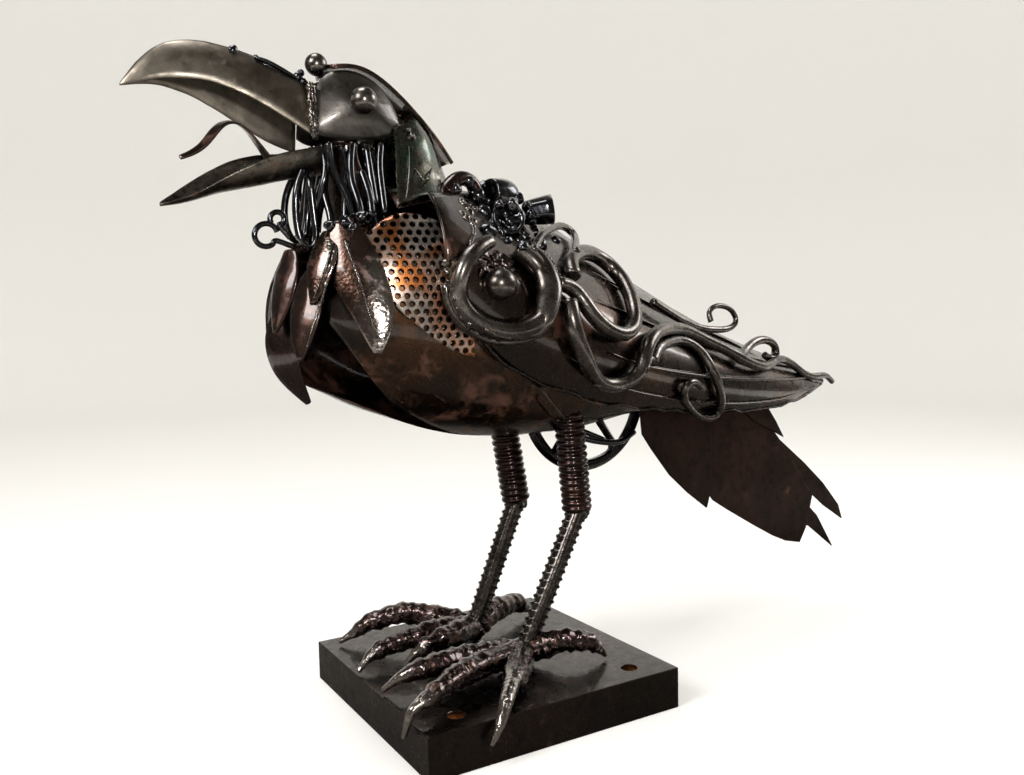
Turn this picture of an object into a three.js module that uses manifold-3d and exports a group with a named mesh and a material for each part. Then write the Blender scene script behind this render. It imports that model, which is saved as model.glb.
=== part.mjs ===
// A raven welded together from scrap steel, standing on its steel plinth.
// Millimetres, +Z up. The raven faces -Y and its left side is towards +X.
// The origin is the middle of the plinth's underside.
// Places on the raven are measured from the middle of the plinth's top face.

import * as THREE from "three";
import { mergeVertices } from "three/addons/utils/BufferGeometryUtils.js";
import Module from "manifold-3d";

const wasm = await Module();
wasm.setup();

// Air left between pieces that are welded side by side
const GAP = 0.35;

// Sheet that the shells, plates and feathers are cut from
const SHEET = 1.6;

// How far flat facets may fall inside the curve that they stand for
const FACET_SAG = 0.8;

const TAIL_SHEET = 2.4;
const CROWN_BAR_THICKNESS = 3;

// Plinth: a square block with two screw holes towards the raven's left
const PLINTH_SIDE = 203.2;
const PLINTH_HEIGHT = 30;
const PLINTH_HOLE_DIAMETER = 12.5;
const PLINTH_HOLE_INSET = 20;
const PLINTH_HOLE_SPACING = 143;

// Legs: round bar shanks under thighs wound as a close coil
const SHANK_RADIUS = 6.8;
const THIGH_RADIUS = 11.3;
const THIGH_GROOVE = 2;
const THIGH_PITCH = 7;
const ANKLE_WELD_RADIUS = 10;
const KNEE_WELD_RADIUS = 9.5;

// Toes: round bar that thins to a claw
const TOE_RADIUS = 6.4;
const CLAW_TIP_RADIUS = 1.1;

// Rods bent over the left wing
const RING_ROD_RADIUS = 5.2;
const EDGE_ROD_RADIUS = 3;
const SCROLL_ROD_RADIUS = 5.5;
const CURL_ROD_RADIUS = 3.8;
const BALL_RADIUS = 10.5;

// Throat rods, head and shoulder pieces
const THROAT_ROD_RADIUS = 2.6;
const WIRE_RADIUS = 1.5;
const EYE_RADIUS = 8.8;
const FOREHEAD_BALL_RADIUS = 7;
const TONGUE_WIDTH = 8;
const SHOULDER_ARCH_RADIUS = 6;
const SHOULDER_BELL_RADIUS = 13.5;
const SHOULDER_BOWL_RADIUS = 13;
const SHOULDER_NUT_RADIUS = 11.5;
const CUP_WALL = 2.5;

// Spoked wheel let into the belly
const WHEEL_RADIUS = 60;
const WHEEL_RIM_RADIUS = 4.5;
const WHEEL_HUB_RADIUS = 10;
const WHEEL_SPOKES = 5;

// Facets round a bar and round a turned piece
const BAR_SIDES = 6;
const THICK_BAR_SIDES = 7;
const TURNED_SIDES = 12;

const DEGREE = Math.PI / 180;
const HALF_SIDE = PLINTH_SIDE / 2;
const point = (x, y, z) => new THREE.Vector3(x, y, z);
const smooth = THREE.MathUtils.lerp;

// A closed three.js shape, made ready for joining and cutting
function solidOf(geometry) {
  const bare = new THREE.BufferGeometry();
  bare.setAttribute("position", geometry.getAttribute("position"));
  bare.setIndex(geometry.getIndex());
  const merged = mergeVertices(bare, 1e-4);
  const corners = merged.index.array;
  const faces = [];
  for (let i = 0; i < corners.length; i += 3) {
    const [a, b, c] = [corners[i], corners[i + 1], corners[i + 2]];
    if (a !== b && b !== c && c !== a) faces.push([a, b, c]);
  }
  const build = (list) =>
    new wasm.Manifold(
      new wasm.Mesh({
        numProp: 3,
        vertProperties: merged.attributes.position.array,
        triVerts: new Uint32Array(list.flat()),
      }),
    );
  const solid = build(faces);
  return solid.volume() > 0 ? solid : build(faces.map(([a, b, c]) => [a, c, b]));
}

// A box whose u, v and w run from 0 to 1, carried to wherever place(u, v, w) puts them
function bentBox(uSteps, vSteps, place) {
  const box = new THREE.BoxGeometry(1, 1, 1, uSteps, vSteps, 1);
  const at = box.getAttribute("position");
  const share = (value, steps) => Math.round((value + 0.5) * steps) / steps;
  for (let i = 0; i < at.count; i++) {
    const u = share(at.getX(i), uSteps);
    const v = share(at.getY(i), vSteps);
    const p = place(u, v, share(at.getZ(i), 1));
    at.setXYZ(i, p.x, p.y, p.z);
  }
  // The two broad faces are split along the same diagonals, so that a thin sheet keeps its thickness
  const back = box.groups[5];
  for (let i = back.start; i < back.start + back.count; i += 6) {
    const [a, b, d, , c] = box.index.array.slice(i, i + 6);
    box.index.array.set([a, b, c, a, c, d], i);
  }
  return solidOf(box);
}

// A round bar along a smooth path; radiusAt gives its radius at each share of the length
function bar(path, radiusAt, sides, steps, grow) {
  const frames = path.computeFrenetFrames(steps, false);
  const rod = new THREE.CylinderGeometry(1, 1, 1, sides, steps);
  const at = rod.getAttribute("position");
  for (let i = 0; i < at.count; i++) {
    const step = Math.round((0.5 - at.getY(i)) * steps);
    const ring = step === 0 || step === steps ? Math.sign(step - 1) * grow : 0;
    const middle = path.getPointAt(step / steps).addScaledVector(frames.tangents[step], ring);
    if (Math.hypot(at.getX(i), at.getZ(i)) > 0.5) {
      const side = Math.round((Math.atan2(at.getX(i), at.getZ(i)) * sides) / (2 * Math.PI));
      const angle = (((side + sides) % sides) * 2 * Math.PI) / sides;
      const radius = radiusAt(step / steps) + grow;
      middle.addScaledVector(frames.normals[step], Math.cos(angle) * radius);
      middle.addScaledVector(frames.binormals[step], Math.sin(angle) * radius);
    }
    at.setXYZ(i, middle.x, middle.y, middle.z);
  }
  return solidOf(rod);
}

const curveThrough = (places) =>
  new THREE.CatmullRomCurve3(places.map(([x, y, z]) => point(x, y, z)), false, "centripetal");

// A round bar through hand-set places that thins evenly from one radius to another
function taperedBar(places, from, to, steps, sides = BAR_SIDES) {
  const path = curveThrough(places);
  return (grow) => bar(path, (share) => smooth(from, to, share), sides, steps, grow);
}

// A turned piece: a profile of radius and height, standing at a place along an axis
function turned(profile, place, axis, sides = TURNED_SIDES) {
  const spin = new THREE.Quaternion().setFromUnitVectors(
    point(0, 1, 0),
    point(...axis).normalize(),
  );
  return (grow) => {
    const middle = profile.reduce((sum, [, height]) => sum + height, 0) / profile.length;
    const grown = profile.map(([radius, height]) => {
      const out = radius > 0 ? grow : 0;
      return new THREE.Vector2(radius + out, height + Math.sign(height - middle) * grow);
    });
    const shape = new THREE.LatheGeometry(grown, sides);
    shape.applyQuaternion(spin).translate(...place);
    return solidOf(shape);
  };
}

function ball(place, radius, around = 10, up = 7) {
  return (grow) => {
    const shape = new THREE.SphereGeometry(radius + grow, around, up);
    return solidOf(shape.rotateX(Math.PI / 2).translate(...place));
  };
}

// The slope of a size at a row, level where the size turns round
function slopeAt(before, row, after, k) {
  const rise = (row[k] - before[k]) / (row[0] - before[0] || 1);
  const next = (after[k] - row[k]) / (after[0] - row[0] || 1);
  if (before === row) return next;
  if (after === row) return rise;
  return rise * next > 0 ? (2 * rise * next) / (rise + next) : 0;
}

// Rows hold a place along the raven and the sizes there; the result gives the sizes anywhere
function sizesAlong(rows) {
  return (y) => {
    let i = 0;
    while (i < rows.length - 2 && y > rows[i + 1][0]) i++;
    const [a, b] = [rows[i], rows[i + 1]];
    const before = rows[Math.max(i - 1, 0)];
    const after = rows[Math.min(i + 2, rows.length - 1)];
    const span = b[0] - a[0];
    const t = THREE.MathUtils.clamp((y - a[0]) / span, 0, 1);
    return a.slice(1).map((value, column) => {
      const k = column + 1;
      const leave = slopeAt(before, a, b, k) * span;
      const arrive = slopeAt(a, b, after, k) * span;
      const cubic = 2 * value - 2 * b[k] + leave + arrive;
      const square = 3 * b[k] - 3 * value - 2 * leave - arrive;
      return ((cubic * t + square) * t + leave) * t + value;
    });
  };
}

// The raven's body: place along it, height of the belly, height of the back, half width
const bodySizes = sizesAlong([
  [-146, 240, 272, 8],
  [-138, 212, 303, 30],
  [-115, 199, 332, 50],
  [-70, 183, 354, 62],
  [-20, 171, 350, 67],
  [30, 167, 338, 67],
  [80, 169, 312, 61],
  [130, 176, 284, 52],
  [180, 183, 258, 42],
  [240, 188, 230, 32],
  [300, 190, 208, 22],
  [350, 191, 197, 10],
]);
const BODY_FULLNESS = 0.9;

// A place on the body, with the angle measured from the back down the left side
function onBody(y, angle, lift) {
  const [belly, back, half] = bodySizes(y);
  const swell = (value) => Math.sign(value) * Math.abs(value) ** BODY_FULLNESS;
  const across = swell(Math.sin(angle * DEGREE)) * (half + lift);
  const up = swell(Math.cos(angle * DEGREE)) * ((back - belly) / 2 + lift);
  return point(across, y, (back + belly) / 2 + up);
}

// The folded wing: place along it, then across and height of its ridge, side and lower edge
const wingSizes = sizesAlong([
  [-66, 48, 343, 70, 316, 71, 286],
  [-50, 38, 347, 74, 300, 73, 251],
  [-28, 24, 350, 77, 285, 71, 227],
  [0, 10, 348, 78, 273, 68, 213],
  [40, 1.2, 338, 76, 260, 64, 200],
  [80, 1.2, 320, 71, 247, 59, 190],
  [130, 1.2, 291, 62, 230, 52, 183],
  [190, 1.2, 260, 51, 215, 43, 176],
  [250, 1.2, 235, 39, 204, 33, 173],
  [310, 1.2, 214, 25, 196, 23, 175],
  [345, 1.2, 202, 16, 193, 15, 183],
  [364, 1.2, 196, 9, 193, 9, 189],
]);

// A place on the wing, with down running from 0 at the ridge to 1 at the lower edge
function onWing(y, down, lift) {
  const [ridgeX, ridgeZ, sideX, sideZ, lowX, lowZ] = wingSizes(y);
  const section = new THREE.QuadraticBezierCurve(
    new THREE.Vector2(ridgeX, ridgeZ),
    new THREE.Vector2(2 * sideX - (ridgeX + lowX) / 2, 2 * sideZ - (ridgeZ + lowZ) / 2),
    new THREE.Vector2(lowX, lowZ),
  );
  const p = section.getPoint(down);
  const along = section.getTangent(THREE.MathUtils.clamp(down, 0, 1));
  return point(p.x - along.y * lift, y, p.y + along.x * lift);
}

// The same place found from its height instead
function onWingAtHeight(y, height, lift) {
  let [above, below] = [0, 1];
  for (let i = 0; i < 16; i++) {
    const middle = (above + below) / 2;
    if (onWing(y, middle, lift).z > height) above = middle;
    else below = middle;
  }
  const p = onWing(y, (above + below) / 2, lift);
  return [p.x, p.y, height < p.z ? height : p.z];
}

// A sheet on the body or the wing. Each row is a place along it with its upper and lower edge
function plateOn(form, rows, uSteps, vSteps, lift, edgeScale, mirror = 1) {
  const edges = sizesAlong(rows);
  const first = rows[0][0];
  const last = rows[rows.length - 1][0];
  return (grow) =>
    bentBox(uSteps, vSteps, (u, v, w) => {
      const y = smooth(first - grow, last + grow, u);
      const [top, bottom] = edges(y);
      const edge = smooth(top - grow * edgeScale, bottom + grow * edgeScale, v);
      const p = form(y, edge, smooth(lift - SHEET - grow, lift + grow, w));
      return point(p.x * mirror, p.y, p.z);
    });
}

// A leaf shaped blade along a spine, creased down the middle. Under 1 its tip is round
const LEAF_ROUNDNESS = 0.65;

function blade({ spine, across, width, crease, thickness = SHEET, steps = 6, root = 0.45 }) {
  const path = curveThrough(spine);
  const side = point(...across).normalize();
  return (grow) =>
    bentBox(steps, 2, (u, v, w) => {
      const share = smooth(-grow, path.getLength() + grow, u) / path.getLength();
      const held = THREE.MathUtils.clamp(share, 0, 1);
      const p = path.getPointAt(held);
      const along = path.getTangentAt(held);
      p.addScaledVector(along, (share - held) * path.getLength());
      const face = point(0, 0, 0).crossVectors(side, along).normalize();
      const leaf = Math.sin(Math.PI * Math.min(u ** 0.75, 0.985)) ** LEAF_ROUNDNESS;
      const full = Math.max(root * (1 - u) ** 2, leaf);
      const reach = (v - 0.5) * (width * full + 2 * grow);
      p.addScaledVector(side, reach);
      p.addScaledVector(face, Math.abs(reach) * crease + (w - 0.5) * (thickness + 2 * grow));
      return p;
    });
}

// A three.js mesh of a finished solid
function meshOf(name, solid, finish) {
  const { numProp, vertProperties, triVerts } = solid.getMesh();
  const places = new Float32Array((vertProperties.length / numProp) * 3);
  for (let i = 0; i < places.length / 3; i++) {
    places.set(vertProperties.subarray(i * numProp, i * numProp + 3), i * 3);
  }
  const geometry = new THREE.BufferGeometry();
  geometry.setAttribute("position", new THREE.BufferAttribute(places, 3));
  geometry.setIndex(new THREE.BufferAttribute(new Uint32Array(triVerts), 1));
  geometry.computeVertexNormals();
  const mesh = new THREE.Mesh(geometry, new THREE.MeshStandardMaterial(finish));
  mesh.name = name;
  return mesh;
}

// Finishes, from the photograph
const OILED = { color: 0x2e2a27, roughness: 0.32, metalness: 0.9 };
const BRIGHT = { color: 0x77736c, roughness: 0.3, metalness: 1 };
const BEAK = { color: 0x6d675c, roughness: 0.38, metalness: 0.95 };
const HEAD = { color: 0x5a5852, roughness: 0.4, metalness: 0.95 };
const RUSTED = { color: 0x452720, roughness: 0.5, metalness: 0.7 };
const GREENISH = { color: 0x3a423d, roughness: 0.35, metalness: 0.9 };
const GUNMETAL = { color: 0x22252b, roughness: 0.25, metalness: 0.95 };
const PERFORATED = { color: 0x8b7a66, roughness: 0.4, metalness: 0.9 };
const COIL = { color: 0x351f1c, roughness: 0.45, metalness: 0.75 };
const BASE = { color: 0x2b2522, roughness: 0.35, metalness: 0.8 };

// Pieces of the raven. Each keeps clear of the pieces that it is said to lie against
const sculpture = new THREE.Group();
const raven = new THREE.Group();
raven.position.z = PLINTH_HEIGHT;
sculpture.add(raven);
const shapes = new Map();

function add(name, finish, shape, against = [], envelope = shape) {
  let solid = shape(0);
  for (const neighbour of against) solid = solid.subtract(shapes.get(neighbour)(GAP));
  const bodies = solid.decompose().sort((a, b) => b.volume() - a.volume());
  shapes.set(name, envelope);
  raven.add(meshOf(name, bodies[0], finish));
}

const joined = (...parts) => (grow) =>
  parts.map((part) => part(grow)).reduce((sum, part) => sum.add(part));

// Plinth
function plinth() {
  const outline = new THREE.Shape();
  outline.moveTo(-HALF_SIDE, -HALF_SIDE);
  outline.lineTo(HALF_SIDE, -HALF_SIDE);
  outline.lineTo(HALF_SIDE, HALF_SIDE);
  outline.lineTo(-HALF_SIDE, HALF_SIDE);
  outline.closePath();
  for (const end of [-1, 1]) {
    const hole = new THREE.Path();
    const y = (end * PLINTH_HOLE_SPACING) / 2;
    hole.absarc(HALF_SIDE - PLINTH_HOLE_INSET, y, PLINTH_HOLE_DIAMETER / 2, 0, 2 * Math.PI, true);
    outline.holes.push(hole);
  }
  const settings = { depth: PLINTH_HEIGHT, bevelEnabled: false, curveSegments: BAR_SIDES };
  return meshOf("plinth", solidOf(new THREE.ExtrudeGeometry(outline, settings)), BASE);
}
sculpture.add(plinth());

// Legs: hip, knee and ankle of each
const LEGS = {
  left: { hip: [32, 55, 186], knee: [32, 62, 110], ankle: [34, 10, ANKLE_WELD_RADIUS] },
  right: { hip: [-32, 34, 182], knee: [-32, 46, 109], ankle: [-32, 4, ANKLE_WELD_RADIUS] },
};

for (const [side, { hip, knee, ankle }] of Object.entries(LEGS)) {
  const kneeJoint = point(...knee);
  const shankLine = new THREE.LineCurve3(kneeJoint, point(...ankle));
  const shank = (grow) => bar(shankLine, () => SHANK_RADIUS, THICK_BAR_SIDES, 1, grow);
  const ankleWeld = ball([ankle[0], ankle[1], ankle[2] + GAP], ANKLE_WELD_RADIUS, 8, 5);
  const kneeWeld = ball(knee, KNEE_WELD_RADIUS, 7, 5);
  add(`${side}_shank`, OILED, joined(shank, kneeWeld, ankleWeld));

  const thighLine = new THREE.LineCurve3(point(...hip), kneeJoint);
  const turns = Math.round(thighLine.getLength() / THIGH_PITCH) * 2;
  const winding = (share) => THIGH_RADIUS - (Math.round(share * turns) % 2 ? 0 : THIGH_GROOVE);
  const thigh = (grow) => bar(thighLine, winding, THICK_BAR_SIDES, turns, grow);
  const sleeve = (grow) => bar(thighLine, () => THIGH_RADIUS, THICK_BAR_SIDES, 1, grow);
  add(`${side}_thigh`, COIL, thigh, [`${side}_shank`], sleeve);
}

// Toes: places from the ankle to the claw; two claws hook over the plinth's edges
const CLAW_CLEAR = 5.6;
const TOES = {
  left_toe_inner: [[35, 4, 12], [34, -27, 15], [38, -66, 18], [35, -90, 14], [25, -99, 3]],
  left_toe_middle: [
    [37, 4, 12],
    [61, -54, 18],
    [78, -88, 15],
    [80, -HALF_SIDE - CLAW_CLEAR + 2, 8],
    [77, -HALF_SIDE - CLAW_CLEAR, -8],
  ],
  left_toe_outer: [
    [41, 6, 13],
    [72, -20, 12],
    [94, -39, 11],
    [HALF_SIDE + CLAW_CLEAR - 1, -50, 3],
    [HALF_SIDE + CLAW_CLEAR + 1, -60, -13],
  ],
  left_toe_hind: [[37, 15, 12], [50, 34, 19], [57, 58, 14], [59, 67, 3]],
  right_toe_inner: [[-29, 0, 12], [-8, -30, 18], [-6, -52, 15], [-9, -67, 3]],
  right_toe_middle: [[-31, 0, 12], [-21, -35, 19], [-21, -65, 17], [-22, -90, 11], [-17, -100, 3]],
  right_toe_outer: [
    [-34, 0, 13],
    [-41, -14, 18],
    [-54, -35, 24],
    [-67, -54, 22],
    [-75, -73, 14],
    [-83, -90, 3],
  ],
  right_toe_hind: [[-33, 9, 12], [-42, 30, 18], [-54, 58, 15], [-60, 76, 3]],
};

const toesSoFar = [];
for (const [name, places] of Object.entries(TOES)) {
  const path = curveThrough(places);
  const thin = (share) => smooth(TOE_RADIUS, CLAW_TIP_RADIUS, THREE.MathUtils.clamp(share, 0, 1) ** 3);
  const toe = (grow) => bar(path, thin, BAR_SIDES, 7, grow);
  add(name, RUSTED, toe, ["left_shank", "right_shank", ...toesSoFar]);
  toesSoFar.push(name);
}

// Wheel under the belly, standing upright between the legs
const WHEEL_PLACE = [0, 93, 132 + WHEEL_RADIUS];

function wheel(grow) {
  const ringRadius = WHEEL_RADIUS - WHEEL_RIM_RADIUS;
  const rim = new THREE.TorusGeometry(ringRadius, WHEEL_RIM_RADIUS + grow, 5, 18);
  let solid = solidOf(rim.rotateY(Math.PI / 2).translate(...WHEEL_PLACE));
  const hubWidth = 2 * WHEEL_RIM_RADIUS + 2 * grow;
  const hub = new THREE.CylinderGeometry(
    WHEEL_HUB_RADIUS + grow,
    WHEEL_HUB_RADIUS + grow,
    hubWidth,
    THICK_BAR_SIDES,
  );
  solid = solid.add(solidOf(hub.rotateZ(Math.PI / 2).translate(...WHEEL_PLACE)));
  for (let i = 0; i < WHEEL_SPOKES; i++) {
    const angle = ((i + 0.25) * 2 * Math.PI) / WHEEL_SPOKES;
    const [sin, cos] = [Math.sin(angle), Math.cos(angle)];
    const [x, y, z] = WHEEL_PLACE;
    const spoke = new THREE.LineCurve3(
      point(x, y + (cos * WHEEL_HUB_RADIUS) / 2, z + (sin * WHEEL_HUB_RADIUS) / 2),
      point(x, y + cos * ringRadius, z + sin * ringRadius),
    );
    solid = solid.add(bar(spoke, () => WHEEL_RIM_RADIUS * 0.75, 4, 1, grow));
  }
  return solid;
}
add("belly_wheel", GUNMETAL, wheel, ["left_thigh", "right_thigh"]);

// Flanks: the left one stops short of the keel, and the right one runs on under it
const FLANK_EDGE_PER_MM = 1;
const leftFlank = [
  [-132, 80, 92],
  [-124, 72, 105],
  [-112, 64, 127],
  [-97, 60, 141],
  [-78, 60, 152],
  [-53, 67, 165],
  [-20, 78, 179],
  [30, 86, 179],
  [180, 90, 178],
  [250, 92, 172],
  [300, 94, 160],
];
const rightFlank = [
  [-140, 80, 186],
  [-125, 68, 200],
  [-96, 60, 202],
  [-76, 60, 196],
  [-50, 68, 182],
  [-20, 78, 179],
  [30, 86, 179],
  [180, 90, 178],
  [250, 92, 172],
  [300, 94, 160],
];
const belowThighs = ["left_thigh", "right_thigh", "belly_wheel"];
const bracket = [
  [12, 118, 128],
  [30, 131, 140],
  [46, 143, 152],
];
const flankSheet = plateOn(onBody, leftFlank, 11, 5, 0, FLANK_EDGE_PER_MM);
const flankBracket = plateOn(onBody, bracket, 3, 1, SHEET * 0.8, FLANK_EDGE_PER_MM);
add("left_flank", OILED, joined(flankSheet, flankBracket), belowThighs);
add(
  "right_flank",
  OILED,
  plateOn(onBody, rightFlank, 11, 5, 0, FLANK_EDGE_PER_MM, -1),
  [...belowThighs, "left_flank"],
);

// Perforated collars at the wing roots, over the flanks
const collar = [
  [-118, 60, 70],
  [-108, 52, 76],
  [-97, 47, 90],
  [-84, 47, 97],
  [-71, 51, 103],
  [-58, 54, 107],
  [-42, 58, 108],
];
const ON_SHEET = SHEET + GAP;
for (const [side, mirror] of [["left", 1], ["right", -1]]) {
  const shape = plateOn(onBody, collar, 7, 4, ON_SHEET + FACET_SAG, FLANK_EDGE_PER_MM, mirror);
  add(`${side}_perforated_collar`, PERFORATED, shape);
}

// Wings
const WING_EDGE_PER_MM = 0.01;
const wholeWing = [
  [-66, 0, 1],
  [364, 0, 1],
];
for (const [side, mirror] of [["left", 1], ["right", -1]]) {
  add(`${side}_wing`, OILED, plateOn(onWing, wholeWing, 12, 5, 0, WING_EDGE_PER_MM, mirror));
}

// Back plate between the shoulders, under the wings
const backPlate = [
  [-84, -42, 42],
  [-40, -34, 34],
  [-10, -20, 20],
  [16, -9, 9],
];
add("back_plate", OILED, plateOn(onBody, backPlate, 5, 5, 0, FLANK_EDGE_PER_MM), [
  "left_wing",
  "right_wing",
  "left_perforated_collar",
  "right_perforated_collar",
]);

// Rods on the left wing, as places along it and heights
const alongWing = (places, radius) =>
  places.map(([y, z]) => onWingAtHeight(y, z, radius + GAP + FACET_SAG));

// Part of an oval lying on the wing
function ovalOnWing(y, z, reachY, reachZ, from, to, count) {
  return Array.from({ length: count + 1 }, (_, i) => {
    const angle = smooth(from, to, i / count) * DEGREE;
    return [y + Math.cos(angle) * reachY, z + Math.sin(angle) * reachZ];
  });
}

const RING_PLACE = [-26.5, 279];
const RING_REACH = [34.5, 30];
// The outer turn is welded into the ring's flank, all along its length
const EDGE_STEP = RING_ROD_RADIUS + EDGE_ROD_RADIUS * 0.3;
const frontRing = taperedBar(
  alongWing(ovalOnWing(...RING_PLACE, ...RING_REACH, 58, -258, 14), RING_ROD_RADIUS),
  RING_ROD_RADIUS * 1.25,
  RING_ROD_RADIUS * 0.9,
  18,
);
const outerTurn = taperedBar(
  alongWing(
    ovalOnWing(...RING_PLACE, RING_REACH[0] + EDGE_STEP, RING_REACH[1] + EDGE_STEP, 178, 300, 6),
    EDGE_ROD_RADIUS,
  ),
  EDGE_ROD_RADIUS,
  EDGE_ROD_RADIUS,
  8,
  5,
);
add("wing_ring_front", BRIGHT, joined(frontRing, outerTurn));
add(
  "bearing_ball",
  BRIGHT,
  ball(onWingAtHeight(-31, 279, BALL_RADIUS * 0.45), BALL_RADIUS, 9, 6),
  ["left_wing", "wing_ring_front"],
);
add(
  "wing_ring_rear",
  BRIGHT,
  taperedBar(
    alongWing(
      [
        [37, 287],
        [40, 296],
        [54, 303],
        [75, 306],
        [92, 302],
        [103, 291],
        [101, 278],
        [95, 265],
        [87, 252],
        [76, 245],
        [63, 245],
        [50, 251],
        [41, 260],
        [36, 270],
        [30, 279],
        [18, 281],
      ],
      RING_ROD_RADIUS,
    ),
    RING_ROD_RADIUS,
    RING_ROD_RADIUS * 0.9,
    20,
  ),
  ["wing_ring_front"],
);
const scrollRod = taperedBar(
  [
    ...alongWing(
      [
        [22, 268],
        [21, 256],
        [26, 239],
        [35, 224],
        [46, 212],
        [59, 208],
        [75, 210],
        [86, 216],
        [88, 227],
        [96, 237],
        [112, 245],
        [128, 247],
        [145, 247],
        [164, 243],
        [183, 235],
        [203, 228],
        [219, 220],
        [238, 213],
      ],
      SCROLL_ROD_RADIUS,
    ),
    [40, 256, 211],
    [31, 274, 214],
    [24, 292, 216],
    [20, 313, 208],
    [18, 329, 199],
    [16, 345, 196],
    [12, 362, 198],
    [8, 377, 190],
  ],
  SCROLL_ROD_RADIUS,
  1.4,
  32,
);
const rearCurl = taperedBar(
  [
    [46, 219, 219],
    [38, 232, 225],
    [33, 246, 231],
    [30, 262, 234],
    [28, 277, 230],
    [27, 283, 222],
    [28, 275, 216],
    [29, 266, 220],
  ],
  CURL_ROD_RADIUS * 0.8,
  CURL_ROD_RADIUS * 0.6,
  11,
  5,
);
add("wing_scroll_rod", BRIGHT, joined(scrollRod, rearCurl), ["left_wing", "wing_ring_rear"]);
add(
  "wing_curl_low",
  BRIGHT,
  taperedBar(
    alongWing(
      [
        [95, 207],
        [99, 221],
        [110, 231],
        [131, 236],
        [150, 234],
        [162, 227],
        [169, 216],
        [177, 203],
        [185, 189],
        [188, 179],
        [181, 174],
        [167, 179],
        [156, 190],
        [155, 202],
      ],
      CURL_ROD_RADIUS,
    ),
    CURL_ROD_RADIUS * 1.1,
    CURL_ROD_RADIUS * 0.8,
    18,
  ),
  ["wing_scroll_rod"],
);
add(
  "wing_curl_upper",
  BRIGHT,
  taperedBar(
    [
      [42, 129, 268],
      [42, 146, 259],
      [42, 161, 252],
      [39, 181, 246],
      [37, 202, 244],
      [35, 219, 245],
      [34, 228, 251],
      [32, 224, 260],
      [32, 212, 264],
      [33, 201, 263],
      [34, 194, 257],
      [36, 196, 251],
    ],
    CURL_ROD_RADIUS,
    CURL_ROD_RADIUS * 0.6,
    18,
    5,
  ),
  ["left_wing", "wing_scroll_rod"],
);
// Shoulder plate over the front of the left wing
const shoulderPlate = [
  [-67, 0.12, 0.9],
  [-56, 0.1, 0.55],
  [-36, 0.08, 0.36],
];
add(
  "left_shoulder_plate",
  OILED,
  plateOn(onWing, shoulderPlate, 4, 4, ON_SHEET + FACET_SAG * 2, WING_EDGE_PER_MM),
  ["wing_ring_front"],
);

// Scrap fittings on the shoulder: an arched rod, a bell, a bowl and a flared nut
const hollowCup = (radius, depth) => [
  [0, 0],
  [radius * 0.75, 0],
  [radius, depth],
  [radius - CUP_WALL, depth],
  [radius * 0.75 - CUP_WALL, CUP_WALL],
  [0, CUP_WALL],
];
const bell = [
  [0, 0],
  [SHOULDER_BELL_RADIUS * 0.75, 0],
  [SHOULDER_BELL_RADIUS, 6],
  [SHOULDER_BELL_RADIUS, 14],
  [SHOULDER_BELL_RADIUS * 0.8, 24],
  [SHOULDER_BELL_RADIUS * 0.8 - CUP_WALL, 24],
  [SHOULDER_BELL_RADIUS - CUP_WALL, 13],
  [0, 4],
];
add(
  "shoulder_arch",
  RUSTED,
  taperedBar(
    [
      [32, -45, 338],
      [30, -40, 349],
      [28, -30, 356],
      [26, -20, 354],
      [25, -14, 343],
    ],
    SHOULDER_ARCH_RADIUS,
    SHOULDER_ARCH_RADIUS * 0.8,
    8,
  ),
  ["left_wing", "back_plate", "left_shoulder_plate"],
);
add("shoulder_bell", GUNMETAL, turned(bell, [18, 17, 345], [0.3, -0.92, 0.1], 8), [
  "left_wing",
  "right_wing",
  "back_plate",
  "shoulder_arch",
]);
add(
  "shoulder_bowl",
  GUNMETAL,
  turned(hollowCup(SHOULDER_BOWL_RADIUS, 10), onWingAtHeight(-1, 325, GAP), [1, -0.25, 0.3], 8),
  ["left_wing", "back_plate", "shoulder_bell"],
);
add(
  "shoulder_nut",
  GUNMETAL,
  turned(hollowCup(SHOULDER_NUT_RADIUS, 22), [25, 23, 334], [0.45, 0.88, 0.12], 6),
  ["left_wing", "right_wing", "shoulder_bell", "shoulder_bowl", "wing_ring_rear"],
);

// Neck: a sheet wrapped round the back of it, from the jaw down to the shoulders
const neckSizes = sizesAlong([
  [334, -76, 46, 56],
  [348, -74, 38, 48],
  [362, -72, 31, 41],
  [381, -70, 24, 36],
  [396, -72, 18, 28],
  [412, -80, 15, 20],
]);
const NECK_WRAP = 100;
const NECK_BOTTOM = 334;
const NECK_TOP = 388;
const NECK_BACK_LIFT = 21;
const NECK_NAPE_LIFT = 18;

function neckSheet(grow) {
  return bentBox(8, 3, (u, v, w) => {
    const turn = smooth(-NECK_WRAP - grow, NECK_WRAP + grow, u) * DEGREE;
    const backward = Math.max(Math.cos(turn), 0);
    const lowest = NECK_BOTTOM + NECK_BACK_LIFT * backward;
    const z = smooth(lowest - grow, NECK_TOP + NECK_NAPE_LIFT * backward + grow, v);
    const [middle, half, depth] = neckSizes(z);
    const out = smooth(-SHEET - grow, grow, w);
    return point(Math.sin(turn) * (half + out), middle + Math.cos(turn) * (depth + out), z);
  });
}
add("neck_collar", GREENISH, neckSheet, [
  "back_plate",
  "left_wing",
  "right_wing",
  "left_perforated_collar",
  "right_perforated_collar",
  "left_shoulder_plate",
  "shoulder_arch",
]);

// Crown bar: a strap from the forehead over the crown and down the nape
const crownLine = curveThrough([
  [0, -118, 430],
  [0, -108, 433],
  [0, -97, 433],
  [0, -84, 429],
  [0, -71, 421],
  [0, -56, 409],
  [0, -42, 396],
  [0, -30, 383],
  [0, -22, 372],
]);
const CROWN_WIDTH = 36;
const NAPE_WIDTH = 24;

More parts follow.
